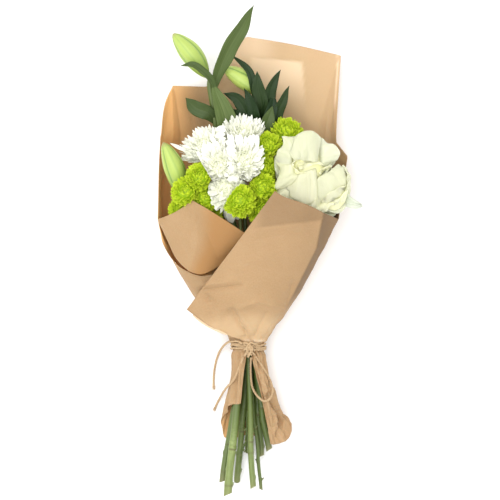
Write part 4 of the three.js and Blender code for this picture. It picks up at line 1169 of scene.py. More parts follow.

# The petals in sight: the lines up each one from foot to rim, how yellow it is, which also brightens it as
# painted light, and how green it is, which also darkens it as painted shade where it catches much light.
ROSE_1_PETALS = [
    # the petal over the lower left
    ([[[46.4, 99.1, 60], [40.2, 104, 80], [35.4, 108.1, 91], [27.5, 109.3, 89], [20.7, 108.4, 84]],
      [[46.4, 99.1, 60], [41.3, 101.6, 82], [36.5, 102.2, 95], [27.4, 101.2, 92.5], [19.6, 100.3, 86]],
      [[46.4, 97.9, 60], [41.3, 98.2, 82], [36.4, 96.5, 96.5], [28.5, 94.3, 94], [22.4, 92.3, 88]],
      [[46.4, 96.8, 60], [42.4, 94.8, 82], [37.6, 89.7, 96.5], [28.5, 84.1, 94], [18.4, 79.8, 88]],
      [[47.5, 95.6, 60], [43.6, 92.5, 82], [39.9, 86.3, 95.5], [30.8, 78.5, 93], [18.4, 70.6, 88]],
      [[48.7, 94.5, 60], [47, 92.5, 82], [43.3, 85.2, 94.5], [36.5, 77.4, 92], [28.6, 71.8, 89]],
      [[49.8, 93.3, 60], [49.3, 91.4, 82], [47.9, 86.4, 93], [44.5, 81.9, 92], [38.9, 77.4, 89]]], 0.35, 0),
    # the pointed upper left petal
    ([[[46.4, 97.9, 60], [41.3, 98.2, 82], [35.3, 98.2, 95.5], [26.3, 98.9, 93.5], [19, 101.5, 86]],
      [[46.4, 99.1, 60], [41.3, 100.5, 82], [35.3, 103.3, 96.5], [26.3, 105.7, 94], [17.9, 107.2, 86]],
      [[46.4, 100.2, 60], [41.3, 103.9, 82], [35.3, 107.8, 96.5], [28.5, 112.5, 94], [21.8, 114.5, 88]],
      [[47.5, 101.4, 60], [42.4, 107.3, 82], [36.5, 112.4, 96], [30.8, 118.2, 94], [26.9, 121.3, 89]],
      [[47.5, 102.5, 60], [44.7, 110.8, 82], [38.7, 117, 95], [32, 125, 93], [24.6, 130.5, 90]],
      [[48.7, 103.7, 60], [47, 113, 82], [43.3, 120.4, 94], [38.8, 126.8, 91], [33.2, 129.9, 87]],
      [[49.8, 103.7, 60], [49.3, 114.2, 82], [46.8, 121.7, 92], [44.6, 127.5, 89], [41.3, 130.1, 84]]],
     0, 0.3),
    # the one below it
    ([[[46.4, 95.7, 58], [38, 88.1, 78], [31, 81, 84], [23, 73, 85], [18.5, 68.5, 83]],
      [[47.6, 95.7, 58], [39.1, 84.6, 79], [33.2, 76.4, 86], [25.2, 67.3, 87], [20.7, 61.6, 85]],
      [[48.7, 94.6, 58], [43.6, 82.3, 80], [40.1, 73, 87], [33.2, 62.7, 88], [28.7, 55.9, 86]],
      [[51, 93.4, 58], [49.3, 81.2, 80], [46.9, 70.7, 87], [42.3, 59.3, 88], [38.9, 51.3, 86]],
      [[53.3, 93.4, 58], [55, 80, 80], [54.9, 69.6, 86], [53.7, 57, 86], [51.5, 46.8, 84]]], 0.6, 0),
    # the broad lower petal
    ([[[49.8, 94.5, 60], [47, 92.4, 84], [43.3, 87.5, 93], [35.4, 78.6, 90], [28.7, 70.7, 87]],
      [[49.8, 94.5, 60], [48.1, 92.4, 84], [46.1, 88.3, 95], [41.6, 75, 93], [35.4, 61.5, 90]],
      [[51, 94.5, 60], [50.4, 93, 84], [50.1, 89.7, 96], [48.4, 73.9, 94], [44.5, 55.8, 91]],
      [[53.3, 95.6, 60], [53.2, 94.1, 84], [53.8, 90.8, 96], [54.7, 73.9, 93.5], [52.5, 52.4, 91]],
      [[54.4, 95.6, 60], [56.1, 94.7, 84], [56.9, 91.4, 95.5], [57.8, 75.1, 91.5], [58.8, 54.7, 89]],
      [[55.6, 96.8, 60], [58.9, 94.7, 84], [60.7, 92, 95], [62.1, 76.2, 93], [63.9, 59.2, 89]],
      [[55.6, 96.8, 60], [61.2, 95.3, 84], [64.3, 92.6, 93.5], [66.2, 82, 88.5], [67.5, 68.5, 84]]], 0.6, 0),
    # the lowest petal
    ([[[51, 92.3, 58], [48.3, 76.7, 76], [45.8, 65, 86], [45.7, 52.5, 87], [45.8, 43.4, 84]],
      [[53.3, 92.3, 58], [52.9, 76.7, 76], [53.7, 65, 87], [54.8, 52.4, 88], [54.9, 41.1, 85]],
      [[55.7, 92.3, 58], [58.6, 76.7, 76], [60.6, 66.1, 87], [62.8, 54.7, 88], [62.9, 42.3, 84]],
      [[58, 93.4, 58], [63.2, 77.9, 76], [66.3, 67.3, 84], [69.2, 57.1, 83], [69.9, 48.1, 79]]], 0.6, 0),
    # the right petal
    ([[[53.3, 102.5, 60], [60.9, 109.9, 76], [65.1, 117.4, 86], [68.5, 125.3, 88], [71.4, 129.4, 85]],
      [[54.4, 101.4, 60], [62, 106.5, 76], [67.4, 112.8, 88], [71.8, 119.5, 90], [76.5, 123.6, 88]],
      [[55.6, 101.4, 60], [63.2, 104.2, 76], [69, 109.3, 89], [76.3, 116, 91.5], [84.4, 121.2, 90]],
      [[56.7, 100.2, 60], [64.3, 102.5, 76], [70.1, 105.9, 90], [78.6, 110.3, 91.5], [90.7, 113.9, 88]],
      [[56.7, 99.1, 60], [64.3, 100.7, 76], [70.7, 102.4, 90], [78.6, 105.2, 91], [90.2, 107.2, 85]],
      [[56.7, 97.9, 60], [65.5, 98.5, 76], [70.7, 99.1, 89], [77.6, 100.8, 88.5], [84.7, 102.8, 82]],
      [[56.7, 97.9, 60], [65.5, 96.2, 76], [70.8, 96.3, 86], [76.6, 97, 84], [82, 97.8, 78]]], 0, 0.6),
    # the domed petal that bows over the heart
    ([[[46.4, 104.9, 60], [34.6, 116.9, 74], [31.6, 119.8, 84], [32.6, 116, 93.5], [34.6, 110.4, 98.4],
       [36.8, 105.6, 99.8], [39.6, 102.8, 99.6]],
      [[48.7, 106, 60], [41.5, 126, 74], [40.1, 130, 86], [41, 124.9, 96], [43.1, 115.5, 101.5],
       [45.4, 108.1, 102.5], [46.5, 103.1, 101]],
      [[51, 107.2, 60], [50.6, 132.9, 74], [51.5, 136.8, 86], [51.2, 130.5, 97], [51.6, 117.7, 103],
       [52.1, 108.7, 103.5], [52.2, 102.2, 101.5]],
      [[53.3, 107.2, 60], [60.9, 131.7, 74], [61.8, 135.7, 85], [60.3, 129.5, 95], [59, 117.8, 101],
       [58.4, 108.7, 102], [58.5, 101.5, 100]],
      [[55.6, 106, 60], [70.1, 123.7, 74], [71, 128.5, 82], [69.6, 124.1, 90], [67.7, 115.9, 94],
       [66.5, 107.9, 95.5], [65.4, 101.1, 95.5]]], 0.15, 0.3),
    # the lip to the right of the heart
    ([[[48.7, 100.2, 60], [46.5, 100, 80], [45, 98.3, 95], [44.3, 95.2, 99.5], [44.9, 91.8, 100]],
      [[49.8, 101.4, 60], [49.9, 101.1, 80], [49.5, 100, 95], [49.4, 96.9, 99.5], [50, 93.5, 100.5]],
      [[52.1, 101.4, 60], [55, 102.3, 80], [55.2, 102.3, 94], [55.7, 99.2, 98.5], [56.8, 96.1, 99.5]],
      [[54.4, 101.4, 60], [60.2, 102.9, 78], [61.6, 103, 91], [63.1, 101.3, 96.5], [64.8, 98.9, 97.5]],
      [[55.6, 100.2, 60], [63.2, 101.3, 76], [66.8, 101.4, 88], [69.5, 100, 93], [72.3, 97.2, 94]]], 0.6, 0),
    # the petal wrapped round the heart
    ([[[47.5, 101.4, 60], [44.7, 103.3, 82], [42.7, 104, 94], [42.1, 104, 98.5], [42, 103.6, 99.8]],
      [[46.4, 100.2, 60], [41.9, 101.6, 82], [39.3, 101.7, 94], [38.4, 101.7, 98.8],
       [38.6, 101.4, 100.5]],
      [[46.4, 99.1, 60], [41.3, 98.2, 82], [38.5, 97.7, 94], [37.5, 97.5, 98.8], [37.8, 97.7, 100.5]],
      [[46.4, 97.9, 60], [43, 94.8, 82], [41, 93.4, 94], [39.8, 92.8, 98.8], [40.1, 93.2, 100.5]],
      [[48.7, 96.8, 60], [46.4, 92.5, 82], [45.6, 90.3, 94], [45.3, 89.2, 98], [45.4, 89.6, 100]],
      [[49.8, 96.8, 60], [50.4, 91.9, 82], [50.7, 89.2, 93], [51, 87.9, 97], [51.1, 88.1, 98.5]]], 0.7, 0),
]
ROSE_2_PETALS = [
    # the guard petal, furthest out
    ([[[89.2, 58.9, 54], [93.6, 53, 60], [100.3, 50.6, 65], [108.2, 49.4, 67], [115.1, 49.4, 68]],
      [[90.4, 64.7, 54], [95.8, 59.9, 63], [102.4, 56.3, 68.5], [110.4, 53.4, 70.5], [118.2, 51.7, 70]],
      [[91.6, 72.8, 54], [97, 70.2, 62], [102.5, 64.4, 67], [109.3, 58.6, 69], [116.7, 53.4, 69.5]]],
     0, 1.35),
    # the lowest petal
    ([[[83.6, 67.1, 50], [67.1, 61, 62], [62, 57.2, 78], [60.1, 50.3, 83], [60.7, 43.4, 82]],
      [[84.8, 67.1, 50], [72.8, 58.7, 62], [68.8, 54.9, 80], [67.5, 47.9, 84.5], [67, 41.1, 82]],
      [[85.9, 67.1, 50], [79.7, 57.6, 62], [77.9, 56, 80], [76.6, 50.2, 83.5], [73.8, 45.1, 82]],
      [[87.1, 67.1, 50], [85.5, 58.7, 62], [85.4, 57.2, 78], [84.7, 53.7, 81], [81.9, 50.9, 80]]], 0.6, 0),
    # the folded petal at the lower right
    ([[[87, 68.2, 52], [84.1, 59.7, 68], [83.2, 58.4, 77], [83.1, 54.9, 79], [83.8, 51, 76]],
      [[88.2, 69.4, 52], [89.7, 62, 70], [89.3, 60.6, 80], [88.7, 58.6, 82], [88.3, 54, 78]],
      [[89.3, 70.5, 52], [96.6, 67.7, 70], [96.2, 66.3, 80], [93.8, 61, 82], [92.9, 55.5, 77]],
      [[90.5, 71.7, 52], [101.3, 73.5, 68], [100.9, 72.1, 77], [100.2, 66.3, 79], [99.8, 59.6, 75]]],
     0.15, 0.1),
    # the outer petal on the right
    ([[[90.5, 72.8, 52], [98.1, 87.5, 62], [96.5, 95.2, 72], [95, 98.3, 80], [93.7, 97.6, 84]],
      [[90.5, 71.7, 52], [101.6, 82.9, 62], [101.6, 88.2, 74], [101.3, 90.3, 81], [98.2, 89.5, 85]],
      [[90.5, 70.5, 52], [102.7, 79.5, 62], [103.9, 81.4, 74], [103, 81.1, 81], [99.9, 81, 85]],
      [[90.5, 69.4, 52], [101.6, 71.4, 62], [102.3, 70, 72], [100.8, 69.2, 79], [98.4, 69.1, 81]]], 0.1, 0.2),
    # the small petals of the heart, behind the dome
    ([[[81.1, 82, 55], [71.2, 84.7, 76], [67.9, 86.6, 88], [67.2, 87.6, 91.5], [68.3, 87.6, 92.5]],
      [[81.1, 82, 55], [72.3, 88.2, 76], [69.1, 90.6, 88], [68.9, 92.1, 91.5], [70, 92.1, 92.5]],
      [[81.1, 82, 55], [75.8, 90.4, 76], [74.2, 93.4, 88], [74.1, 95, 91.5], [74.6, 94.4, 92.5]],
      [[82.3, 82, 55], [81.5, 91.6, 76], [81.7, 95.2, 86], [82.1, 97.4, 89], [82.1, 96.8, 90]]], 0.6, 0),
    # the domed petal
    ([[[84.7, 67.1, 52], [74, 54.1, 62], [66.6, 52.7, 76], [62.4, 57.1, 83.5], [61.2, 62.8, 84.5]],
      [[85.9, 67.1, 52], [81.9, 51.8, 64], [73.3, 54.9, 81], [66.2, 66.1, 88.5], [63.7, 75.2, 89]],
      [[87, 67.1, 52], [88.7, 54, 66], [81.1, 60.5, 85], [72.9, 75.1, 92.5], [67, 83.6, 91.5]],
      [[88.2, 68.2, 52], [95.6, 60.9, 68], [87.3, 68.4, 86.5], [78.5, 80.7, 94], [72.6, 87, 93]],
      [[88.7, 68.8, 52], [100.1, 67.8, 68], [93.1, 74.2, 84.5], [84.2, 84.1, 93], [78, 90.1, 92.3]],
      [[89.3, 69.4, 52], [102.1, 74.7, 68], [96.5, 79.3, 85.5], [87.7, 87.6, 92], [81.5, 92.8, 90.5]],
      [[89.3, 70.5, 52], [102.4, 82.7, 68], [98.3, 84.4, 84], [91.2, 91.7, 89.5], [85.5, 96.2, 88.5]],
      [[89.3, 71.7, 52], [100.1, 89.6, 68], [97.3, 91.4, 80], [93.7, 95.8, 85], [90.2, 99.8, 85]]],
     0.1, 0.25),
    # the petal laid over the dome's lower half
    ([[[84.7, 66.5, 51.3], [78.4, 58.7, 57.1], [74, 53.4, 61.3], [70, 51.8, 68.1], [67.7, 51.4, 72.5]],
      [[86, 66.5, 51.3], [82.9, 54.4, 60.8], [79.2, 51.1, 69.2], [74.1, 52.8, 79.2], [71, 55.7, 83.9]],
      [[87.2, 66.5, 51.3], [88.8, 54.2, 64.5], [85.3, 55.6, 75.7], [80.6, 59.9, 86.9], [77.1, 66.1, 90.3]],
      [[88.5, 67.7, 51.3], [94.9, 61.3, 65.1], [93.6, 62.3, 75.2], [89, 66.4, 85.3], [85.9, 70.2, 90]],
      [[89, 68.3, 51.3], [97.5, 67.4, 62.9], [100.3, 68.2, 71.4], [96.6, 71.6, 80.5], [94.3, 73.7, 85.8]],
      [[89.7, 68.9, 51.3], [97.4, 71.8, 60.4], [102.6, 74.1, 67.1], [101.9, 76.2, 75], [100.3, 77.5, 79.9]]],
     0.3, 0),
]
PETAL_ROWS, PETAL_COLUMNS = 36, 45
PETAL_T = np.linspace(0, 1, PETAL_ROWS)[:, None]
PETAL_A = np.linspace(-1, 1, PETAL_COLUMNS)[None]


def outer_petal(turn, spread, reach, height, rng):
    """One cupped petal, with a rounded, ruffled rim. One side laps over the next petal."""
    t, a = PETAL_T, PETAL_A
    curve = Route([
        (0.28, 0, 0.08), (0.50 * reach + 0.02, 0, 0.34 * height), (0.74 * reach, 0, 0.76 * height),
        (0.90 * reach, 0, 0.96 * height), (reach, 0, height), (reach + 0.03, 0, height - 0.03),
    ])
    along = t * (1 - 0.3 * abs(a) ** 3)
    spots = curve.at(along.ravel())
    angle = math.radians(turn + rng.uniform(-5, 5)) + math.radians(spread) * a * mix(0.55, 1, smooth(t * 1.5))
    waves = rng.uniform(0, 2 * np.pi, 2)
    out = spots[:, 0].reshape(along.shape) * ROSE["radius"] * (1 + 0.05 * a)
    out = out + 0.0013 * t**3 * np.sin(4.2 * a + waves[0])
    rise = spots[:, 2].reshape(along.shape) * ROSE["height"] + 0.0011 * t**3 * np.sin(3.4 * a + waves[1])
    return around_axis(angle, out, rise)


def laid_petal(lines, rng):
    """A petal through lines from foot to rim, with shallow ribs and a ruffled rim."""
    up = np.stack([Route(line).at(PETAL_T[:, 0]) for line in mm(lines)], 1)
    grid = np.array([Route(row).at((PETAL_A[0] + 1) / 2) for row in up])
    normal = unit(np.cross(np.gradient(grid, axis=1), np.gradient(grid, axis=0)))
    waves = rng.uniform(0, 2 * np.pi, 4)
    rim = np.sin(6.1 * PETAL_A + waves[0]) + 0.6 * np.sin(13.7 * PETAL_A + waves[1])
    ribs = np.sin(9.3 * PETAL_A + waves[2] + 0.8 * PETAL_T) + 0.6 * np.sin(17.1 * PETAL_A + waves[3])
    height = 0.0008 * PETAL_T**5 * rim + 0.00025 * smooth(PETAL_T * 2) * ribs
    for _ in range(8):
        across = rng.uniform(2, 9) * rng.choice([-1, 1])
        along = rng.uniform(3, 12)
        wave = np.sin(across * PETAL_A + along * PETAL_T + rng.uniform(0, 2 * np.pi))
        height = height + 0.00027 * smooth(PETAL_T * 2 - 0.4) * wave
    return grid + normal * height[..., None]


def rose_heart(middle, size, seed):
    """The tightly rolled petals in the middle, as short spiral blades inside one another."""
    grids = []
    for k in range(5):
        angle = 2.3 * k + seed + 1.45 * PETAL_A
        out = (0.18 + 0.17 * k + 0.10 * PETAL_A) * mix(0.75, 1.0, PETAL_T) * size
        rise = mix(-0.02, 0.0004 * k, PETAL_T) - 0.0010 * PETAL_T * PETAL_A**2
        rise = rise + 0.0007 * PETAL_T**3 * np.sin(4 * PETAL_A + 2 * k)
        grids.append(around_axis(angle, out, rise) + middle)
    return grids


def make_rose(head, petals, heart, heart_size, seed):
    """A rose: the petals in sight, those below them, the small rolled ones of its heart and its core. heart
    is where the rolled ones have their tops."""
    rng = np.random.default_rng(seed)
    hidden = head.place(np.array([outer_petal(*form, rng) for form in ROSE_OUTER]))
    rolled = rose_heart(heart, heart_size, seed)
    laid = [laid_petal(lines, rng) for lines, _, _ in petals]
    grids = np.concatenate([given_way(np.array([*hidden, *rolled]), head, softness=0.04), laid])
    # how yellow each petal is, which also brightens it as painted light, and how green, which also darkens it
    # as painted shade
    yellow_and_light = [0.0] * len(hidden) + [0.9] * len(rolled) + [yellow_and_light for _, yellow_and_light, _ in petals]
    green_and_shade_values = [0.6] * len(hidden) + [0.0] * len(rolled) + [green_and_shade_values for _, _, green_and_shade_values in petals]
    thickness = 0.0007 * (1 - 0.45 * PETAL_T**3) * (1 - 0.4 * PETAL_A**4)
    piece = Piece()
    piece.blades(grids, thickness, along=PETAL_T, across=PETAL_A, tone=rng.uniform(0, 1, (len(grids), 1, 1)),
                 heart=np.array(yellow_and_light)[:, None, None], outer=np.array(green_and_shade_values)[:, None, None])
    angle = turns(48)[None]
    core = Route([(r, 0, z) for r, z in ROSE_CORE]).even(np.linspace(0, 1, 40))
    reach = core[:, :1] * ROSE["radius"] * (1 + 0.03 * np.sin(3 * angle) + 0.02 * np.sin(5 * angle))
    rings = head.place(around_axis(angle, reach, core[:, 2:] * ROSE["height"]))
    piece.tube(given_way(rings, head, softness=0.22), along=0.5, across=angle, tone=0.5, heart=0.9)
    piece.make(head.node + "_petals", ROSE_FINISH, [head.node + "_bloom"])


# ---------------------------------------------------------------- chrysanthemums

GOLDEN_ANGLE = math.pi * (3 - math.sqrt(5))

# The florets of a head: how far the outer ones reach, how many there are, the rows and columns of each, the
# core that they grow from, how flat the head is, the angle from its axis down to the lowest ones, their
# width, how blunt their tips are, how much they cup, lift and curve in, how short the inner ones are, and
# how much they differ in length, in direction and in roll.
WHITE_FLORETS = {
    "reach": 0.0305, "count": 260, "rows": 12, "columns": 5, "core": 0.0105, "flat": 0.82, "lowest": 122,
    "width": 0.0056, "tip": 4, "cup": 0.30, "lift": 0.30, "incurve": 0.40, "shortest": 0.55, "ragged": 0.22,
    "uneven": 0.10, "roll": 0.35, "thickness": 0.00045,
}
GREEN_FLORETS = {
    "reach": 0.0192, "count": 250, "rows": 9, "columns": 5, "core": 0.0105, "flat": 0.9, "lowest": 128,
    "width": 0.0042, "tip": 7, "cup": 0.6, "lift": 0.2, "incurve": 0.5, "shortest": 0.80, "ragged": 0.10,
    "uneven": 0.10, "roll": 0.35, "thickness": 0.00045,
}


def make_chrysanthemum(head, form, finish, seed, strays=()):
    """A head of strap florets set by the golden angle, long and spread outside, short and incurved inside."""
    rng = np.random.default_rng(seed)
    count = form["count"]
    k = np.arange(count)
    share = (k + 0.5) / count
    polar = np.arccos(1 - share * (1 - math.cos(math.radians(form["lowest"]))))
    polar = np.abs(polar + rng.normal(0, form["uneven"], count))
    turn = k * GOLDEN_ANGLE + rng.normal(0, form["uneven"], count)
    inner = 1 - smooth(share / 0.35)
    reach = form["reach"] * mix(1.0, form["shortest"], inner) * mix(1, 0.9, np.cos(polar).clip(0))
    reach = reach * rng.uniform(1 - form["ragged"], 1 + form["ragged"] * 0.4, count)
    centre = np.array([0, 0, head.kind["height"] * 0.42])

    def spots(angle, length):
        spread = around_axis(turn, np.sin(angle), np.cos(angle) * form["flat"])
        return centre + spread * np.reshape(length, (-1, 1))

    tipward = polar * (1 - form["lift"] * smooth(polar / 1.8)) - form["incurve"] * inner * polar
    root = spots(polar * 0.98, form["core"])
    bend = spots(polar * 1.04 + 0.1, reach * 0.64)
    tip = spots(tipward + rng.normal(0, form["uneven"], count), reach)
    t = np.linspace(0, 1, form["rows"])[None, :, None]
    spine = root[:, None] * (1 - t) ** 2 + 2 * bend[:, None] * t * (1 - t) + tip[:, None] * t**2
    along = unit(np.gradient(spine, axis=1))
    tangent = np.stack([-np.sin(turn), np.cos(turn), 0 * turn], -1)
    roll = rng.normal(0, form["roll"], count)[:, None]
    up = unit(np.cross(tangent, along[:, -1]))
    side = unit(tangent * np.cos(roll) + up * np.sin(roll))[:, None]
    above = unit(np.cross(side, along))
    blunt = np.clip(1 - t ** form["tip"], 0.02, 1) ** 0.6
    width = form["width"] / 2 * (0.42 + 0.58 * smooth(t * 1.6)) * blunt
    width = width * mix(0.66, 1, smooth(share / 0.3))[:, None, None] * rng.uniform(0.8, 1.12, (count, 1, 1))
    wide = width[..., None]
    a = np.linspace(-1, 1, form["columns"])[None, None, :, None]
    cup = form["cup"] * (a**2 - 0.4) * wide * above[:, :, None]
    grids = spine[:, :, None] + a * wide * side[:, :, None] - cup
    grids = given_way(head.place(grids), head, softness=0.1)
    piece = Piece()
    piece.blades(grids, form["thickness"] * (1 - 0.4 * t), along=t, across=a[..., 0],
                 tone=rng.uniform(0, 1, (count, 1, 1)), heart=inner[:, None, None])
    for rib, half_width in strays:
        grid = leaf_grid(Route(rib), (0, 0, 1), half_width, fold=0.5, widest=0.6, rows=14, columns=7)
        piece.blades(grid[None], 0.0005, along=np.linspace(0.2, 1, 14)[:, None],
                     across=np.linspace(-1, 1, 7)[None], tone=0.3)
    dome = np.linspace(0.04, 0.96, 12)[:, None] * np.pi
    core = form["core"] * 1.1
    rings = around_axis(turns(24)[None], np.sin(dome) * core, centre[2] - np.cos(dome) * core * form["flat"])
    piece.tube(head.place(rings), tone=0.5)
    piece.make(head.node + "_florets", finish, [head.node])


# ---------------------------------------------------------------- leaves and buds


def leaf_grid(route, facing, half_width, fold=0.22, widest=0.45, base=0.35, rows=44, columns=17, wave=0.0):
    """A leaf along its midrib, whose sides fold up: rows along it and columns across it."""
    t = np.linspace(0, 1, rows)
    spine = route.even(t)
    along = unit(np.gradient(spine, axis=0))
    side = unit(np.cross(np.array(facing, float), along))
    up = np.cross(along, side)
    rise = mix(base, 1, np.sin(np.clip(t / widest, 0, 1) * np.pi / 2))
    fall = np.cos(np.clip((t - widest) / (1 - widest), 0, 1) ** 1.4 * np.pi / 2)
    width = np.maximum(np.where(t < widest, rise, fall) * half_width, 0.0002)[:, None, None]
    a = np.linspace(-1, 1, columns)[None, :, None]
    relief = (0.00009 * np.cos(a * 7 * np.pi) - 0.0004 * hump(a, 0, 0.09)) * smooth(width / 0.004)
    hollow = fold * width * np.abs(a) ** 1.25 + relief
    ripple = wave * np.abs(a) ** 3 * np.sin(t * 19)[:, None, None]
    return spine[:, None] - side[:, None] * a * width + up[:, None] * (hollow + ripple)


# The leaves of each lily: the midrib from foot to tip, half the width in mm, which way the upper side faces,
# how the leaf's form differs from the usual one, and how pale it is.
LILY_LEAVES = {
    "lily_1": [
        # the broad leaf, and the narrow one that curls over the foot of the bud
        ([[-36, 108, 31], [-34, 132, 44], [-41, 160, 52], [-50, 182, 56], [-55, 196, 58]],
         12.5, (0.1, 0.1, 1), {"widest": 0.3}, 0.74),
        ([[-49, 176, 49], [-54, 194, 60], [-63, 205, 67], [-77, 214, 70], [-91, 213, 64]],
         4.2, (0.1, 0.1, 1), {"widest": 0.55}, 0.45),
        # the tall leaf, the bouquet's furthest point
        ([[-55.5, 180, 41.5], [-50, 200, 50], [-36, 232, 60], [-19, 260, 66], [-7, 283, 60]],
         10, (0.5, -0.3, 1), {"base": 0.1, "widest": 0.5}, 0.6),
        ([[-50, 150, 37], [-60, 160, 44], [-74, 166, 42], [-86, 178, 36]], 9, (0, -0.2, 1), {}, 0.35),
    ],
    "lily_2": [
        ([[0, 150, 31], [2, 168, 44], [-2, 190, 54], [-3, 207, 58]], 8.5, (0, -0.4, 1), {}, 0.1),
        ([[0, 146, 30.5], [10, 170, 44], [14, 190, 52], [24, 209, 56]], 7, (0.2, -0.4, 1), {}, 0.06),
        ([[-1, 134, 29], [16, 150, 40], [24, 168, 46], [34, 191, 50]], 7, (0.4, -0.2, 1), {}, 0.1),
        ([[0, 140, 29], [-14, 158, 44], [-26, 176, 48], [-42, 183, 44]], 8, (-0.3, 0, 1), {}, 0.06),
        ([[-1, 128, 28], [-14, 142, 40], [-26, 156, 45], [-44, 164, 42]], 8, (-0.2, 0, 1), {}, 0.04),
        ([[-1, 118, 27.5], [4, 134, 44], [10, 152, 50], [15, 168, 50]], 9, (0.1, -0.2, 1), {}, 0.45),
        ([[1, 160, 31.5], [-6, 186, 46], [-12, 208, 47], [-33, 228, 42]], 4.5, (0, 0, 1), {}, 0.06),
        # two that lie deeper, between the others
        ([[0, 136, 29], [-6, 156, 46], [-12, 176, 52], [-18, 188, 50]], 7, (-0.2, -0.2, 1), {}, 0.02),
        ([[0, 130, 29], [8, 146, 46], [14, 164, 48], [16, 184, 46]], 7.5, (0.2, -0.2, 1), {}, 0.0),
    ],
}


def make_lily_leaves(name, node):
    """All the leaves of one lily."""
    piece = Piece()
    for rib, width, facing, form, tone in LILY_LEAVES[name]:
        grid = leaf_grid(Route(mm(rib)), facing, width / 1000, wave=0.0009, **form)
        rows, columns, _ = grid.shape
        t = np.linspace(0, 1, rows)[None, :, None]
        a = np.linspace(-1, 1, columns)[None, None]
        piece.blades(grid[None], 0.0007 * (1 - 0.6 * a**4), along=t, across=a, tone=tone)
    piece.make(name + "_leaves", LEAF_FINISH, [node])


def make_bud(node, tone):
    """A closed bud, with a groove between its petals and a fainter one down each."""
    rows, sides = 70, 72
    rings = bud_rings(BUDS[node], rows, sides)
    angle = turns(sides)
    share = np.linspace(0, 1, rows)
    groove = seams(angle, 0.5, 0.06) + 0.35 * seams(angle, 0, 0.04)
    piece = Piece()
    piece.tube(rings, along=share[:, None], across=angle / np.pi,
               groove=groove[None] * smooth(share * 5)[:, None], tone=tone)
    piece.make(node + "_tepals", BUD_FINISH, [node])


# ---------------------------------------------------------------- stems

# Cut end, place in the neck (degrees round its ring, or None for the middle), a guide point inside the
# cone, radius at the cut end and at the top, and how pale it is.
STEMS = {
    "rose_1": ([11, -233, 20], 39, [16, 0, 44], 3.7, 3.3, 0.05),
    "rose_2": ([2, -242, 10], 347, [34, 0, 36], 3.8, 3.2, 0.1),
    "green_spray_2": ([-8, -276, 29], 90, [-8, 0, 56], 3.5, 2.6, 0.62),
    "white_spray_2": ([-37, -284, 33], 141, [-24, 0, 52], 4.7, 2.8, 0.9),
    "green_spray_1": ([-43, -269, 21], 193, [-44, -8, 46], 3.9, 2.6, 0.25),
    "lily_1": ([-26, -271, 11], 244, [-40, 0, 26], 3.7, 3.4, 0.55),
    "lily_2": ([-14, -236, 7], 296, [-6, 0, 18], 3.6, 3.4, 0.35),
    "white_spray_1": ([2, -279, 17], None, [-16, 0, 34], 2.0, 2.6, 0.25),
}
STEM_SPACING = 0.0106  # the radius of their ring in the neck
CUT_SLANT = 0.55  # how far a cut end slopes, for each length of its radius
# The cup under each kind of head, as its radius and its depth.
ROSE_CUP = (0.007, 0.009)
WHITE_CUP = (0.007, 0.005)
GREEN_CUP = (0.0055, 0.004)
CUP_BITE = 0.0015  # how far a stalk goes into its cup
LILY_TOPS = {
    "lily_1": mm([[-46, 110, 30], [-54, 168, 40], [-58, 196, 45]]),
    "lily_2": mm([[-2, 100, 26], [0, 150, 30], [2, 168, 32]]),
}


def stem_route(name, tops):
    """From the cut end through the neck and the guide point to the points of its top."""
    end, ring, guide, *_ = STEMS[name]
    neck = NECK
    if ring is not None:
        turn = math.radians(ring)
        neck = NECK + STEM_SPACING * np.array([math.cos(turn), 0, math.sin(turn)])
    return Route([mm(end), neck, mm(guide), *tops])


def approach(head, depth, run):
    """The last two points of a stalk, which meets its cup along the cup's own axis."""
    foot = head.base + head.axis * (CUP_BITE - depth)
    return [foot - head.axis * run, foot]


def add_stub(piece, middle, out, along, radius, tone, rng):
    """What is left of a leaf's foot or a thorn: a short pointed stub that leans up the stem."""
    way = unit(out + along * rng.uniform(0.2, 0.9))
    start = middle + out * radius * 0.8
    reach = rng.uniform(0.0016, 0.0042)
    spine = Route([start, start + way * reach * 0.6, start + way * reach + along * 0.0005])
    share = np.linspace(0, 1, 7)
    line = spine.even(share)
    line[:, 2] = np.maximum(line[:, 2], TABLE_CLEARANCE)
    _, side, up = frames(line)
    girth = np.linspace(rng.uniform(0.0010, 0.0016), 0.0004, 7)[:, None, None]
    piece.tube(rings_round(line, side, up, turns(8), girth), tone=tone, dry=share[:, None])


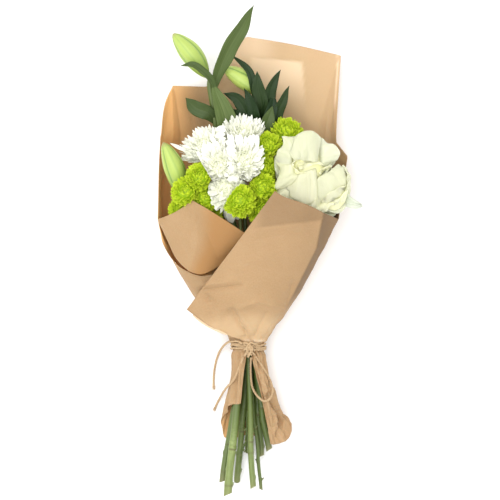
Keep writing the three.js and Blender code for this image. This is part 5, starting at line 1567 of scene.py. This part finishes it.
def add_stalk(piece, route, radius, top, tone, seed, knobs=0):
    """A stem with faint ridges, swollen knobs where leaves were, and scars below them."""
    rng = np.random.default_rng(seed)
    rows, sides = max(int(route.length / 0.0011), 12), 18
    line = route.even(np.linspace(0, 1, rows))
    distance = steps_of(line)
    line = line + 0.0009 * np.stack([sway(line, 0.07, seed), sway(line, 0.09, seed + 1), 0 * distance], -1)
    along, side, up = frames(line)
    angle = turns(sides)
    girth = mix(radius, top, distance / distance[-1])[:, None] * (1 + 0.02 * np.cos(5 * angle)[None])
    girth = girth * (1 + 0.03 * sway(line, 0.03, seed + 2))[:, None]
    scar = np.zeros((rows, sides))
    for k in range(knobs):
        spot = 0.012 + k * rng.uniform(0.014, 0.032)
        facing = k * 2.4 + rng.uniform(-0.4, 0.4)
        near = hump(distance, spot, 0.0026)[:, None]
        aim = np.exp(2.2 * (np.cos(angle - facing) - 1))[None]
        ring = rng.choice([0.0, 0.08, 0.5], p=[0.5, 0.3, 0.2])
        girth = girth * (1 + 0.08 * ring * near + 0.30 * near * aim)
        below = hump(distance, spot - 0.0016, 0.0010)[:, None]
        scar = np.maximum(scar, below * (ring + aim).clip(0, 1))
        at = np.searchsorted(distance, spot)
        out = math.cos(facing) * side[at] + math.sin(facing) * up[at]
        add_stub(piece, line[at], out, unit(line[at + 1] - line[at]), radius, tone, rng)
    rings = rings_round(line, side, up, angle, girth[..., None])
    dry, shade = 0.0, tone
    if knobs:  # it has a cut end, which slopes and is dry, and painted shade darkens it further up, under and within the wrap
        slope = CUT_SLANT * radius * np.cos(angle - rng.uniform(0, 2 * np.pi))
        slant = slope[None] * np.exp(-distance / 0.004)[:, None]
        rings = rings + slant[..., None] * along[:, None]
        dry = np.exp(-distance / 0.007)[:, None] * rng.uniform(0.4, 1)
        shade = mix(tone, min(tone, 0.22), after(distance, 0.055, 0.045))[:, None]
    length = distance[:, None]
    piece.tube(rings, round=angle[None] / (2 * np.pi), scar=scar, length=length, tone=shade, dry=dry)


def add_cup(piece, head, radius, depth, neck_radius, tone, seed):
    """The green cup under a head, with narrow bracts pressed to it."""
    rng = np.random.default_rng(seed)
    profile = Route([(neck_radius, 0, -depth), (radius * 0.75, 0, -depth * 0.6), (radius, 0, -GAP)])
    spots = profile.even(np.linspace(0, 1, 12))
    piece.tube(head.stand(around_axis(turns(20)[None], spots[:, :1], spots[:, 2:])), tone=tone)
    t = np.linspace(0, 1, 7)[:, None]
    a = np.linspace(-1, 1, 3)[None]
    spine = profile.even(mix(0.15, 0.95, t[:, 0]))
    reach = spine[:, :1] + 0.0004
    width = 0.0016 * np.sqrt(np.clip(1 - t**3, 0.04, 1)) * (0.6 + 0.4 * t)
    bracts = []
    for k in range(12):
        turn = k * GOLDEN_ANGLE + rng.uniform(-0.1, 0.1)
        bracts.append(np.stack([
            np.cos(turn) * reach - np.sin(turn) * a * width,
            np.sin(turn) * reach + np.cos(turn) * a * width,
            spine[:, 2:] + 0 * a,
        ], -1))
    piece.blades(head.stand(np.array(bracts)), 0.0004, tone=min(tone + 0.15, 1))


SEPAL_RIB = mm([[4, -5], [12, -6], [19, -9.5], [25, -15]])  # out from the axis and up from the head's foot


def add_sepals(piece, head, tone):
    """Five narrow sepals, turned down round the stem."""
    for turn in turns(5):
        rib = head.stand(around_axis(turn, SEPAL_RIB[:, 0], SEPAL_RIB[:, 1]))
        grid = leaf_grid(Route(rib), head.axis, 0.0032, fold=0.4, widest=0.3, base=0.7, rows=20, columns=7)
        piece.blades(given_way(grid, head, softness=0.1)[None], 0.0006, tone=tone + 0.1)


def make_rose_stem(head):
    """A rose's stem with its cup and sepals."""
    *_, radius, top, tone = STEMS[head.node]
    piece = Piece()
    cup_radius, depth = ROSE_CUP
    route = stem_route(head.node, approach(head, depth, 0.022))
    add_stalk(piece, route, radius / 1000, top / 1000, tone, 70 + len(head.node), knobs=3)
    add_cup(piece, head, cup_radius, depth, top / 1000, tone + 0.25, 3)
    add_sepals(piece, head, tone + 0.2)
    piece.make(head.node + "_stalk", STEM_FINISH, [head.node + "_stem"])


def make_spray_stem(name, heads, cup, seed):
    """A stem that forks to its heads, with a cup under each."""
    *_, radius, top, tone = STEMS[name]
    piece = Piece()
    cup_radius, depth = cup
    tops = [approach(head, depth, 0.012) for head in heads]
    main = stem_route(name, tops[0])
    add_stalk(piece, main, radius / 1000, top / 1000, tone, seed, knobs=4)
    for k, ends in enumerate(tops[1:]):
        fork, ahead = main.even(np.array([0.62 + 0.035 * k, 0.625 + 0.035 * k]))
        side = Route([fork, fork + unit(ahead - fork) * 0.012, *ends])
        add_stalk(piece, side, 0.0022, 0.0018, min(tone + 0.15, 1), seed + 5 + k)
    for k, head in enumerate(heads):
        add_cup(piece, head, cup_radius * head.scale, depth, 0.002, 0.55, seed + 20 + k)
    if name == "green_spray_2":
        add_twig(piece, 0.1, seed + 40)
    piece.make(name + "_stalk", STEM_FINISH, [name + "_stem"])


TWIG = mm([[-14, -188, 25], [-16, -216, 22], [-20, -234, 19], [-23.5, -248, 17]])


def add_twig(piece, tone, seed):
    """A thin side shoot that hangs between the stems, with a few thorns."""
    rng = np.random.default_rng(seed)
    line = Route(TWIG).even(np.linspace(0, 1, 50))
    line = line + 0.0005 * np.stack([sway(line, 0.015, seed), sway(line, 0.02, seed + 1), 0 * line[:, 0]], -1)
    along, side, up = frames(line)
    angle = turns(10)
    girth = np.linspace(0.0011, 0.0006, 50)[:, None, None]
    piece.tube(rings_round(line, side, up, angle, girth), round=angle[None] / (2 * np.pi), tone=tone)
    for k in range(6):
        at = 16 + 5 * k
        turn = 2.4 * k
        out = math.cos(turn) * side[at] + math.sin(turn) * up[at]
        add_stub(piece, line[at], out, along[at], 0.0006, tone, rng)


def bud_foot(bud, back):
    """The point behind a bud's foot, along its axis."""
    return bud["foot"] - unit(bud["tip"] - bud["foot"]) * back


def make_lily_stem(name, bud, side_bud, seed):
    """A lily's stem up to its bud, and to a side bud if it has one."""
    *_, radius, top, tone = STEMS[name]
    piece = Piece()
    main = stem_route(name, [*LILY_TOPS[name], bud_foot(bud, 0.008), bud_foot(bud, GAP)])
    add_stalk(piece, main, radius / 1000, top / 1000, tone, seed, knobs=4)
    if side_bud is not None:
        fork, ahead = main.even(np.array([0.55, 0.555]))
        ends = [fork + unit(ahead - fork) * 0.014, bud_foot(side_bud, 0.012), bud_foot(side_bud, GAP)]
        add_stalk(piece, Route([fork, *ends]), 0.0026, 0.0026, tone + 0.1, seed + 1)
    piece.make(name + "_stalk", STEM_FINISH, [name + "_stem"])


# ---------------------------------------------------------------- the flowers, one by one

# Long florets that stand out of the white heads: a midrib and half a width.
STRAY_FLORETS = {
    "white_spray_1_bloom_2": [
        (mm([[-74, 114, 58], [-88, 117, 60], [-103, 124, 61]]), 0.0022),
        (mm([[-72, 110, 54], [-84, 109, 54], [-93, 104, 52]]), 0.0026),
    ],
    "white_spray_2_bloom_3": [
        (mm([[-36, 56, 74], [-35, 44, 70], [-31, 32, 62]]), 0.0048),
        (mm([[-32, 56, 72], [-29, 46, 66], [-24, 36, 57]]), 0.0042),
        (mm([[-38, 54, 70], [-38, 44, 66], [-36, 36, 58]]), 0.0036),
    ],
    "white_spray_2_bloom_2": [
        (mm([[-12, 100, 76], [-4, 103, 78], [2, 107, 76]]), 0.0028),
        (mm([[-12, 96, 74], [-3, 99, 75], [3, 101, 72]]), 0.0026),
    ],
}

# Florets that reach across to the next white head: the head that they grow from, the ends of the line of
# their roots and of the line of their tips, and how many there are.
REACHING_FLORETS = [
    ("white_spray_2_bloom_1", mm([[-39, 88, 92], [-37, 122, 88]]), mm([[-27, 90, 98], [-28, 124, 93]]), 7),
    ("white_spray_2_bloom_2", mm([[-25, 91, 92], [-27, 119, 90]]), mm([[-37, 94, 99], [-38, 123, 93]]), 6),
    ("white_spray_2_bloom_2", mm([[-32, 116, 86], [-4, 117, 86]]), mm([[-36, 133, 85], [-2, 134, 85]]), 8),
    ("white_spray_1_bloom_2", mm([[-51, 122, 74], [-50, 140, 66]]), mm([[-36, 126, 83], [-38, 142, 76]]), 5),
    ("white_spray_2_bloom_1", mm([[-60, 102, 84], [-46, 117, 86]]), mm([[-72, 113, 83], [-54, 131, 83]]), 6),
    ("white_spray_2_bloom_3", mm([[-37, 80, 92], [-30, 78, 91]]), mm([[-27, 88, 96], [-20, 84, 94]]), 4),
]


def reaching_florets():
    """The florets that reach across from each head: a midrib and half a width."""
    rng = np.random.default_rng(7)
    florets = {}
    for owner, roots, tips, count in REACHING_FLORETS:
        for share in np.linspace(0, 1, count):
            root = mix(*roots, share) + rng.normal(0, 0.001, 3)
            tip = mix(*tips, share) + rng.normal(0, 0.0015, 3)
            middle = (root + tip) / 2 + np.array([0, 0, 0.0025])
            floret = (np.stack([root, middle, tip]), rng.uniform(0.0022, 0.0031))
            florets.setdefault(owner, []).append(floret)
    return florets


make_rose(rose_heads[0], ROSE_1_PETALS, mm([46.0, 97.0, 99]), 0.008, 11)
make_rose(rose_heads[1], ROSE_2_PETALS, mm([74.7, 90.5, 90]), 0.0055, 12)
reaching = reaching_florets()
for seed, head in enumerate(sum(white_heads.values(), [])):
    strays = STRAY_FLORETS.get(head.node, []) + reaching.get(head.node, [])
    make_chrysanthemum(head, WHITE_FLORETS, WHITE_FINISH, 100 + seed, strays)
for seed, head in enumerate(sum(green_heads.values(), [])):
    make_chrysanthemum(head, GREEN_FLORETS, GREEN_FINISH, 200 + seed)
for node, tone in (("lily_bud_1", 0.3), ("lily_bud_2", 0.6), ("lily_bud_3", 0.9)):
    make_bud(node, tone)
for head in rose_heads:
    make_rose_stem(head)
for seed, (name, heads) in enumerate([*white_heads.items(), *green_heads.items()]):
    cup = WHITE_CUP if name in white_heads else GREEN_CUP
    make_spray_stem(name, heads, cup, 300 + 30 * seed)
make_lily_stem("lily_1", BUDS["lily_bud_1"], BUDS["lily_bud_3"], 500)
make_lily_stem("lily_2", BUDS["lily_bud_2"], None, 520)
make_lily_leaves("lily_1", "lily_1_stem")
make_lily_leaves("lily_2", "lily_2_stem")

# ---------------------------------------------------------------- table and light

TABLE_SIZE = 12.0


def make_table():
    """The plain table under the bouquet."""
    mesh = bpy.data.meshes.new("table")
    half = TABLE_SIZE / 2
    corners = [(-half, -half, 0), (half, -half, 0), (half, half, 0), (-half, half, 0)]
    mesh.from_pydata(corners, [], [(0, 1, 2, 3)])
    mesh.materials.append(TABLE_FINISH)
    table = bpy.data.objects.new("table", mesh)
    bpy.context.scene.collection.objects.link(table)


def add_lamp(name, place, size, power):
    """A square lamp that faces the bouquet."""
    lamp = bpy.data.lights.new(name, "AREA")
    lamp.size, lamp.energy = size, power
    light = bpy.data.objects.new(name, lamp)
    light.location = place
    light.rotation_euler = (-Vector(place)).to_track_quat("-Z", "Y").to_euler()
    bpy.context.scene.collection.objects.link(light)


make_table()
add_lamp("window_light", (-0.95, 0.4, 2.45), 2.3, 45)
add_lamp("fill_light", (0.4, -0.9, 2.2), 2.2, 15)
world = bpy.data.worlds.new("studio")
world.use_nodes = True
background = world.node_tree.nodes["Background"]
background.inputs["Color"].default_value = (1, 1, 1, 1)
background.inputs["Strength"].default_value = 1.05
bpy.context.scene.world = world
bpy.context.scene.view_settings.view_transform = "Standard"
